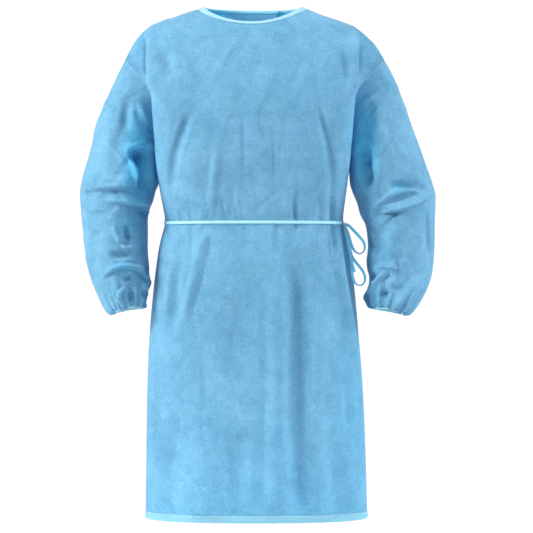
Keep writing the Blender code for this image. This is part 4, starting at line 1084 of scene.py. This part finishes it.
# The rest is in knot sizes.
KNOT_CORE = 0.34
KNOT_GROWTH = 0.07
KNOT_SPREAD = 0.30
KNOT_WAVE = 0.15
KNOT_TAPE_HALF = 0.17
KNOT_TAPE_THICK = 0.045
# The corners of the tape: shares of its half width and of its thickness.
KNOT_CORNERS = ((1, 0.5), (0, 1), (-1, 0.5), (-1, -1), (0, -0.6), (1, -1))


def knot_turns():
    """A tape wound a few times round a small core, each turn tilted from the one before."""
    sections = []
    for i in range(KNOT_TURNS * KNOT_STEPS + 1):
        angle = 2 * math.pi * i / KNOT_STEPS
        share = i / (KNOT_TURNS * KNOT_STEPS)
        tilt = math.radians(KNOT_TILT * (2 * share - 1))
        across = np.array([math.sin(tilt), math.cos(tilt), KNOT_WAVE * math.sin(angle)])
        out = np.array([
            math.cos(angle) * math.cos(tilt), -math.cos(angle) * math.sin(tilt), math.sin(angle)])
        middle = out * (KNOT_CORE + KNOT_GROWTH * share) + across * KNOT_SPREAD * (share - 0.5)
        sections.append([
            middle + across * KNOT_TAPE_HALF * a + out * KNOT_TAPE_THICK * b for a, b in KNOT_CORNERS])
    return KNOT_CENTRE + np.array(sections) * KNOT_SIZE


knot = tube("bow_knot", knot_turns())
core = bmesh.new()
core.from_mesh(knot.data)
ball = bmesh.ops.create_icosphere(core, subdivisions=3, radius=KNOT_CORE)["verts"]
for corner in ball:
    corner.co = KNOT_CENTRE + np.array(corner.co) * KNOT_SIZE
core.to_mesh(knot.data)
core.free()
knot.data.shade_smooth()
finished(knot, "belt_knot")
print("belt runs", round(float(run_along(line)[-1]), 3), "m round the waist")

# %% [markdown]
# ## Fabric
#
# The cloth is spunbonded polypropylene: endless fibres laid at random and melted together at tiny
# points. Up close it is cloudy, because the fibres don't lie evenly, and pale threads show on it. So
# its colour is noise of several sizes on top of each other: soft clouds, a mottle of about two
# centimetres, fine specks, and a ridged pattern for the fibres. The two fine ones also drive a faint
# bump. The surface is matt, with a little sheen where it turns away, and about half of the light
# goes through it.

# %% Node helpers
def fill(tree, node, inputs):
    """Gives each named input of a node its value, or a link where the value is a socket."""
    for name, value in inputs.items():
        if isinstance(value, bpy.types.NodeSocket):
            tree.links.new(value, node.inputs[name])
        else:
            node.inputs[name].default_value = value
    return node


def add_node(tree, kind, inputs, **settings):
    node = tree.nodes.new(kind)
    for name, value in settings.items():
        setattr(node, name, value)
    return fill(tree, node, inputs)


def new_material(name):
    """A new material, its node tree and its Principled shader."""
    material = bpy.data.materials.new(name)
    material.use_nodes = True
    return material, material.node_tree, material.node_tree.nodes["Principled BSDF"]


def noise(tree, place, scale, detail, roughness=0.55, distortion=0.0, kind="FBM"):
    return add_node(tree, "ShaderNodeTexNoise", {
        "Vector": place, "Scale": scale, "Detail": detail, "Roughness": roughness,
        "Distortion": distortion,
    }, noise_type=kind).outputs["Fac"]


def between(tree, value, low, high, to_low, to_high):
    return add_node(tree, "ShaderNodeMapRange", {
        "Value": value, "From Min": low, "From Max": high, "To Min": to_low, "To Max": to_high,
    }).outputs["Result"]


def ramp(tree, share, dark, light):
    """A colour between two others."""
    node = add_node(tree, "ShaderNodeValToRGB", {"Fac": share})
    for stop, colour in zip(node.color_ramp.elements, (dark, light)):
        stop.color = (*colour, 1.0)
    return node.outputs["Color"]


def math_step(tree, operation, first, second=0.0):
    return add_node(tree, "ShaderNodeMath", {0: first, 1: second}, operation=operation).outputs[0]


def vector_step(tree, operation, first, second=(0.0, 0.0, 0.0)):
    node = add_node(tree, "ShaderNodeVectorMath", {0: first, 1: second}, operation=operation)
    return node.outputs["Value" if operation == "LENGTH" else "Vector"]


def total_of(tree, values):
    result = values[0]
    for value in values[1:]:
        result = math_step(tree, "ADD", result, value)
    return result


# %% Fabric nodes
# Painted shade: under the arms, in the deepest creases and down the right of the skirt the colour is
# a deeper teal, for the shade there and the light that reaches it through the cloth. Soft ovals with
# a centre, two half sizes in millimetres, and how much of the tint they take.
PAINTED_SHADE_TINT = (0.58, 1.10, 1.12)
ShadeOval = namedtuple("ShadeOval", "x z half_x half_z share")
PAINTED_SHADE_OVALS = (
    (-256, -345, 50, 140, 1.0), (244, -310, 42, 140, 1.0), (-279, -487, 28, 28, 0.5),
    (-290, -581, 36, 20, 0.5), (322, -402, 34, 20, 0.4), (250, -850, 90, 260, 0.3),
)
PAINTED_SHADE_CORE = 0.30  # within this share of an oval the tint is at its full share
THROUGH_SHARE = 0.56  # how much of the light passes through one wall of the cloth
THROUGH_TINT = (0.20, 1.0, 1.0)  # light that has been through the cloth has lost its red


def with_painted_shade(tree, place, colour):
    """The colour with painted shade: a deeper teal in the table's ovals, laid on as seen from the front."""
    shares = []
    for row in named_rows(ShadeOval, 4, PAINTED_SHADE_OVALS):
        apart = vector_step(tree, "SUBTRACT", place, (row.x, 0.0, row.z))
        scaled = vector_step(tree, "MULTIPLY", apart, (1 / row.half_x, 0.0, 1 / row.half_z))
        shares.append(between(tree, vector_step(tree, "LENGTH", scaled), PAINTED_SHADE_CORE, 1.0, row.share, 0.0))
    painted_shade_colour = vector_step(tree, "MULTIPLY", colour, PAINTED_SHADE_TINT)
    return add_node(tree, "ShaderNodeMix", {0: total_of(tree, shares), 6: colour, 7: painted_shade_colour},
                    data_type="RGBA").outputs[2]


def fabric(name, dark, light, mottle, fibre, bump, rib=0.0, painted_shade=False):
    """A matt nonwoven: two colours, how cloudy, how much its fibres show, bump, metres between ribs."""
    material, tree, shader = new_material(name)
    place = tree.nodes.new("ShaderNodeTexCoord").outputs["Object"]
    clouds = noise(tree, place, 10.0, 3.0)
    patches = noise(tree, place, 46.0, 4.0, 0.6, 0.4)
    specks = noise(tree, place, 400.0, 2.0, 0.7)
    threads = noise(tree, place, 130.0, 5.0, 0.7, 1.2, "RIDGED_MULTIFRACTAL")
    share = total_of(tree, [
        between(tree, clouds, 0.3, 0.7, -0.15 * mottle, 0.15 * mottle),
        between(tree, patches, 0.3, 0.7, -0.17 * mottle, 0.17 * mottle),
        between(tree, specks, 0.25, 0.75, 0.5 - 0.42 * fibre, 0.5 + 0.42 * fibre),
        between(tree, threads, 0.2, 1.6, -0.16 * fibre, 0.36 * fibre),
    ])
    height = total_of(tree, [
        between(tree, specks, 0.2, 0.8, 0.0, 0.5), between(tree, threads, 0.2, 1.6, 0.0, 0.5),
    ])
    if rib:
        uv = tree.nodes.new("ShaderNodeUVMap").outputs["UV"]
        up = add_node(tree, "ShaderNodeSeparateXYZ", {"Vector": uv}).outputs["Y"]
        wave = math_step(tree, "SINE", math_step(tree, "MULTIPLY", up, 2 * math.pi / rib))
        share = total_of(tree, [share, between(tree, wave, -1.0, 1.0, -0.20, 0.20)])
        height = total_of(tree, [height, between(tree, wave, -1.0, 1.0, 0.0, 0.6)])
    colour = ramp(tree, share, dark, light)
    # Painted shade: a deeper teal laid on in the ovals above, for the shade under the arms and in creases.
    if painted_shade:
        colour = with_painted_shade(tree, place, colour)
    relief = add_node(tree, "ShaderNodeBump", {"Strength": 1.0, "Distance": bump, "Height": height})
    fill(tree, shader, {
        "Base Color": colour, "Roughness": between(tree, patches, 0.3, 0.7, 0.80, 0.92),
        "Normal": relief.outputs["Normal"], "Metallic": 0.0, "Specular IOR Level": 0.30,
        "Sheen Weight": 0.35, "Sheen Roughness": 0.50, "Sheen Tint": (0.75, 0.92, 1.0, 1.0),
    })
    passed = vector_step(tree, "MULTIPLY", colour, THROUGH_TINT)
    through = add_node(tree, "ShaderNodeBsdfTranslucent", {"Color": passed})
    blend = add_node(tree, "ShaderNodeMixShader", {
        "Fac": THROUGH_SHARE, 1: shader.outputs["BSDF"], 2: through.outputs["BSDF"],
    })
    fill(tree, tree.nodes["Material Output"], {"Surface": blend.outputs["Shader"]})
    print("fabric", name, len(tree.nodes), "nodes")
    return material


# The main cloth takes the painted shade of the ovals: a deeper teal where shade falls.
cloth_fabric = fabric("nonwoven_cloth", (0.156, 0.438, 0.620), (0.396, 0.720, 0.895), 1.0, 1.0, 0.0007,
                      painted_shade=True)
tape_fabric = fabric("nonwoven_tape", (0.60, 0.86, 0.93), (0.80, 0.95, 0.99), 0.4, 0.9, 0.0004)
hem_fabric = fabric("hem_cloth", (0.31, 0.66, 0.81), (0.56, 0.88, 0.97), 0.6, 0.7, 0.0005, 0.0030)
edge_fabric = fabric("edge_tape", (0.50, 0.76, 0.89), (0.68, 0.87, 0.97), 0.4, 0.9, 0.0004)
tie_fabric = fabric("tie_tape", (0.20, 0.58, 0.76), (0.42, 0.76, 0.90), 0.4, 0.9, 0.0004)

for material, pieces in (
    (cloth_fabric, (front_panel, back_left, back_right, *sleeves.values())),
    (tape_fabric, (belt, knot, *cuffs.values())),
    (edge_fabric, (binding,)),
    (tie_fabric, tapes),
    (hem_fabric, hems.values()),
):
    for piece in pieces:
        piece.data.materials.append(material)

# %% [markdown]
# ## Stitches
#
# The strips and the sleeves are sewn on with a lockstitch, a short pale dash every four millimetres. A
# machine repeats it thousands of times, so Geometry Nodes does too: one tree turns a line into evenly
# spaced points and sets a small rod along the line at each. The lines are worked out from the same
# rows as the strips, so that they lie on them.

# %% Stitch tree
STITCH_STEP = 0.0040
STITCH_LENGTH = 0.0028
THREAD_RADIUS = 0.00024
STITCH_SEED = 4
STITCH_UNEVEN = 0.15


def stitch_tree():
    """Geometry Nodes: a small rod along the line at every step, each a little uneven."""
    tree = bpy.data.node_groups.new("stitches", "GeometryNodeTree")
    for label, way, kind in (
        ("Geometry", "INPUT", "Geometry"), ("Step", "INPUT", "Float"), ("Length", "INPUT", "Float"),
        ("Radius", "INPUT", "Float"), ("Uneven", "INPUT", "Float"), ("Material", "INPUT", "Material"),
        ("Geometry", "OUTPUT", "Geometry"),
    ):
        tree.interface.new_socket(label, in_out=way, socket_type="NodeSocket" + kind)
    given = tree.nodes.new("NodeGroupInput").outputs
    line = add_node(tree, "GeometryNodeMeshToCurve", {"Mesh": given["Geometry"]})
    points = add_node(tree, "GeometryNodeCurveToPoints", {
        "Curve": line.outputs["Curve"], "Length": given["Step"],
    }, mode="LENGTH")
    rod = add_node(tree, "GeometryNodeMeshCylinder", {
        "Vertices": 6, "Radius": given["Radius"], "Depth": given["Length"],
    }, fill_type="NGON")
    least = math_step(tree, "SUBTRACT", 1.0, given["Uneven"])
    size = add_node(tree, "FunctionNodeRandomValue", {2: least, 3: 1.0, "Seed": STITCH_SEED},
                    data_type="FLOAT")
    place = add_node(tree, "GeometryNodeInstanceOnPoints", {
        "Points": points.outputs["Points"], "Rotation": points.outputs["Rotation"],
        "Instance": rod.outputs["Mesh"], "Scale": size.outputs[1],
    })
    real = add_node(tree, "GeometryNodeRealizeInstances", {"Geometry": place.outputs["Instances"]})
    paint = add_node(tree, "GeometryNodeSetMaterial", {
        "Geometry": real.outputs["Geometry"], "Material": given["Material"],
    })
    add_node(tree, "NodeGroupOutput", {"Geometry": paint.outputs["Geometry"]})
    return tree


def stitched(name, lines, tree, thread):
    """A mesh of stitches along some lines of points."""
    corners = np.concatenate(lines)
    edges = []
    first = 0
    for line in lines:
        edges += [(first + k, first + k + 1) for k in range(len(line) - 1)]
        first += len(line)
    mesh = bpy.data.meshes.new(name + "_line")
    mesh.from_pydata(corners.tolist(), edges, [])
    piece = in_scene(name, mesh)
    work = piece.modifiers.new("stitches", "NODES")
    work.node_group = tree
    values = {"Step": STITCH_STEP, "Length": STITCH_LENGTH, "Radius": THREAD_RADIUS,
              "Uneven": STITCH_UNEVEN, "Material": thread}
    for item in tree.interface.items_tree:
        if item.in_out == "INPUT" and item.name in values:
            work[item.identifier] = values[item.name]
    bpy.context.view_layer.update()
    depsgraph = bpy.context.evaluated_depsgraph_get()
    whole = bpy.data.meshes.new_from_object(piece.evaluated_get(depsgraph))
    piece.modifiers.remove(work)
    piece.data = whole
    whole.name = name
    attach(piece, "root")
    print(name, len(whole.polygons), "faces")
    return piece


# %% Stitch lines
# Where a line lies: the share of the way from a strip's first row to its second, and metres above.
HEM_STITCH = (0.4, 0.0013)
NECK_STITCH = (0.25, 0.0016)
CUFF_STITCH = (0.6, 0.0014)
ARMHOLE_STITCH_ABOVE = 0.0002


def line_on(rows, normals, share, above):
    line = rows[0] + (rows[1] - rows[0]) * share
    return line + normals[0] * above


thread, tree, shader = new_material("pale_thread")
place = tree.nodes.new("ShaderNodeTexCoord").outputs["Object"]
twist = add_node(tree, "ShaderNodeTexNoise", {"Vector": place, "Scale": 900.0}).outputs["Fac"]
pale = ramp(tree, twist, (0.45, 0.72, 0.84), (0.74, 0.90, 0.96))
fill(tree, shader, {"Base Color": pale, "Roughness": 0.55, "Sheen Weight": 0.4})

sewing = stitch_tree()
hem_lines = [line_on(grid[HEM_ROWS::-1], out[HEM_ROWS::-1], *HEM_STITCH) for grid, out in runs]
cuff_lines = []
for rows, out in sleeve_ends.values():
    ring = line_on(rows, out, *CUFF_STITCH)
    cuff_lines.append(np.vstack([ring, ring[:1]]))
armhole = slice(ARMPIT_ROW, ARMPIT_ROW + ARMHOLE_ROWS + 1)
armhole_lines = [
    grid[armhole, column] + out[armhole, column] * ARMHOLE_STITCH_ABOVE
    for grid, out, column in (
        (front, front_out, -3), (front, front_out, 2), (under, under_out, -3), (upper, upper_out, 2),
    )
]
for name, lines in (
    ("stitches_hem", hem_lines),
    ("stitches_neck", [line_on(neck_line, neck_out, *NECK_STITCH)]),
    ("stitches_cuffs", cuff_lines),
    ("stitches_armholes", armhole_lines),
):
    stitched(name, lines, sewing, thread)

# %% [markdown]
# ## Sheets of cloth
#
# The area of each cloth piece is measured and printed, for one side of its shell.

# Both sides of each shell are measured, and half of that is printed.
for piece in (front_panel, back_left, back_right, *sleeves.values()):
    both_sides = sum(face.area for face in piece.data.polygons)
    print(piece.name, "measures", round(both_sides / 2, 3), "m2 on one side")

# %% [markdown]
# ## Floor and light
#
# The gown is photographed on pure white. A pale floor lies where the wearer's feet would be, and the
# sky around it is white too. The camera sees that sky at full strength, but less of it falls on the
# cloth, so that two large soft lights at the sides can still shape the folds, the left one stronger.
# One from above and one from behind fill in, and a small weak one lights the inside of the neck.

# %% Floor
FLOOR_Z = -1.45
FLOOR_RADIUS = 2.2
FLOOR_SIDES = 96
floor_mesh = bpy.data.meshes.new("floor")
turns = [2 * math.pi * k / FLOOR_SIDES for k in range(FLOOR_SIDES)]
floor_rim = [(FLOOR_RADIUS * math.cos(turn), FLOOR_RADIUS * math.sin(turn), FLOOR_Z) for turn in turns]
floor_mesh.from_pydata(floor_rim, [], [tuple(range(FLOOR_SIDES))])
floor = in_scene("floor", floor_mesh)
floor_paint, tree, shader = new_material("pale_floor")
fill(tree, shader, {"Base Color": (0.93, 0.93, 0.93, 1.0), "Roughness": 0.9})
floor_mesh.materials.append(floor_paint)
print("floor:", FLOOR_RADIUS, "m in radius, at", FLOOR_Z, "m")

# %% Lights
Light = namedtuple("Light", "name x y z size watts tint aim", defaults=((0.0, 0.0, -0.55),))
LIGHTS = (
    Light("key", -3.7, -1.6, 1.4, 1.4, 310.0, (1.0, 0.99, 0.97)),
    Light("fill", 3.8, -1.0, 1.3, 1.6, 205.0, (0.99, 0.99, 1.0)),
    Light("top", 0.0, -1.0, 2.4, 1.4, 20.0, (1.0, 1.0, 1.0)),
    Light("behind", 0.0, 3.2, 0.3, 2.6, 110.0, (1.0, 1.0, 1.0)),
    Light("neck", 0.0, -0.035, -0.085, 0.10, 0.07, (0.45, 1.0, 1.0), (0.0, 0.07, -0.010)),
)
SKY = 0.49  # how strongly the white sky lights the cloth
BACKDROP = 1.05  # and how bright the camera sees it

for row in LIGHTS:
    data = bpy.data.lights.new(row.name, "AREA")
    data.size = row.size
    data.energy = row.watts
    data.color = row.tint
    lamp = in_scene(row.name, data)
    lamp.visible_camera = False
    away = np.array(row.aim) - np.array((row.x, row.y, row.z))
    flat = math.hypot(away[0], away[1])
    lamp.location = (row.x, row.y, row.z)
    lamp.rotation_euler = (math.atan2(flat, -away[2]), 0, math.atan2(-away[0], away[1]))

world = bpy.data.worlds.new("white_sky")
world.use_nodes = True
tree = world.node_tree
seen = tree.nodes.new("ShaderNodeLightPath").outputs["Is Camera Ray"]
strength = between(tree, seen, 0.0, 1.0, SKY, BACKDROP)
fill(tree, tree.nodes["Background"], {"Strength": strength, "Color": (1.0, 1.0, 1.0, 1.0)})
bpy.context.scene.world = world
bpy.context.scene.view_settings.view_transform = "Standard"
bpy.context.scene.view_settings.look = "None"
print("lights:", len(LIGHTS))
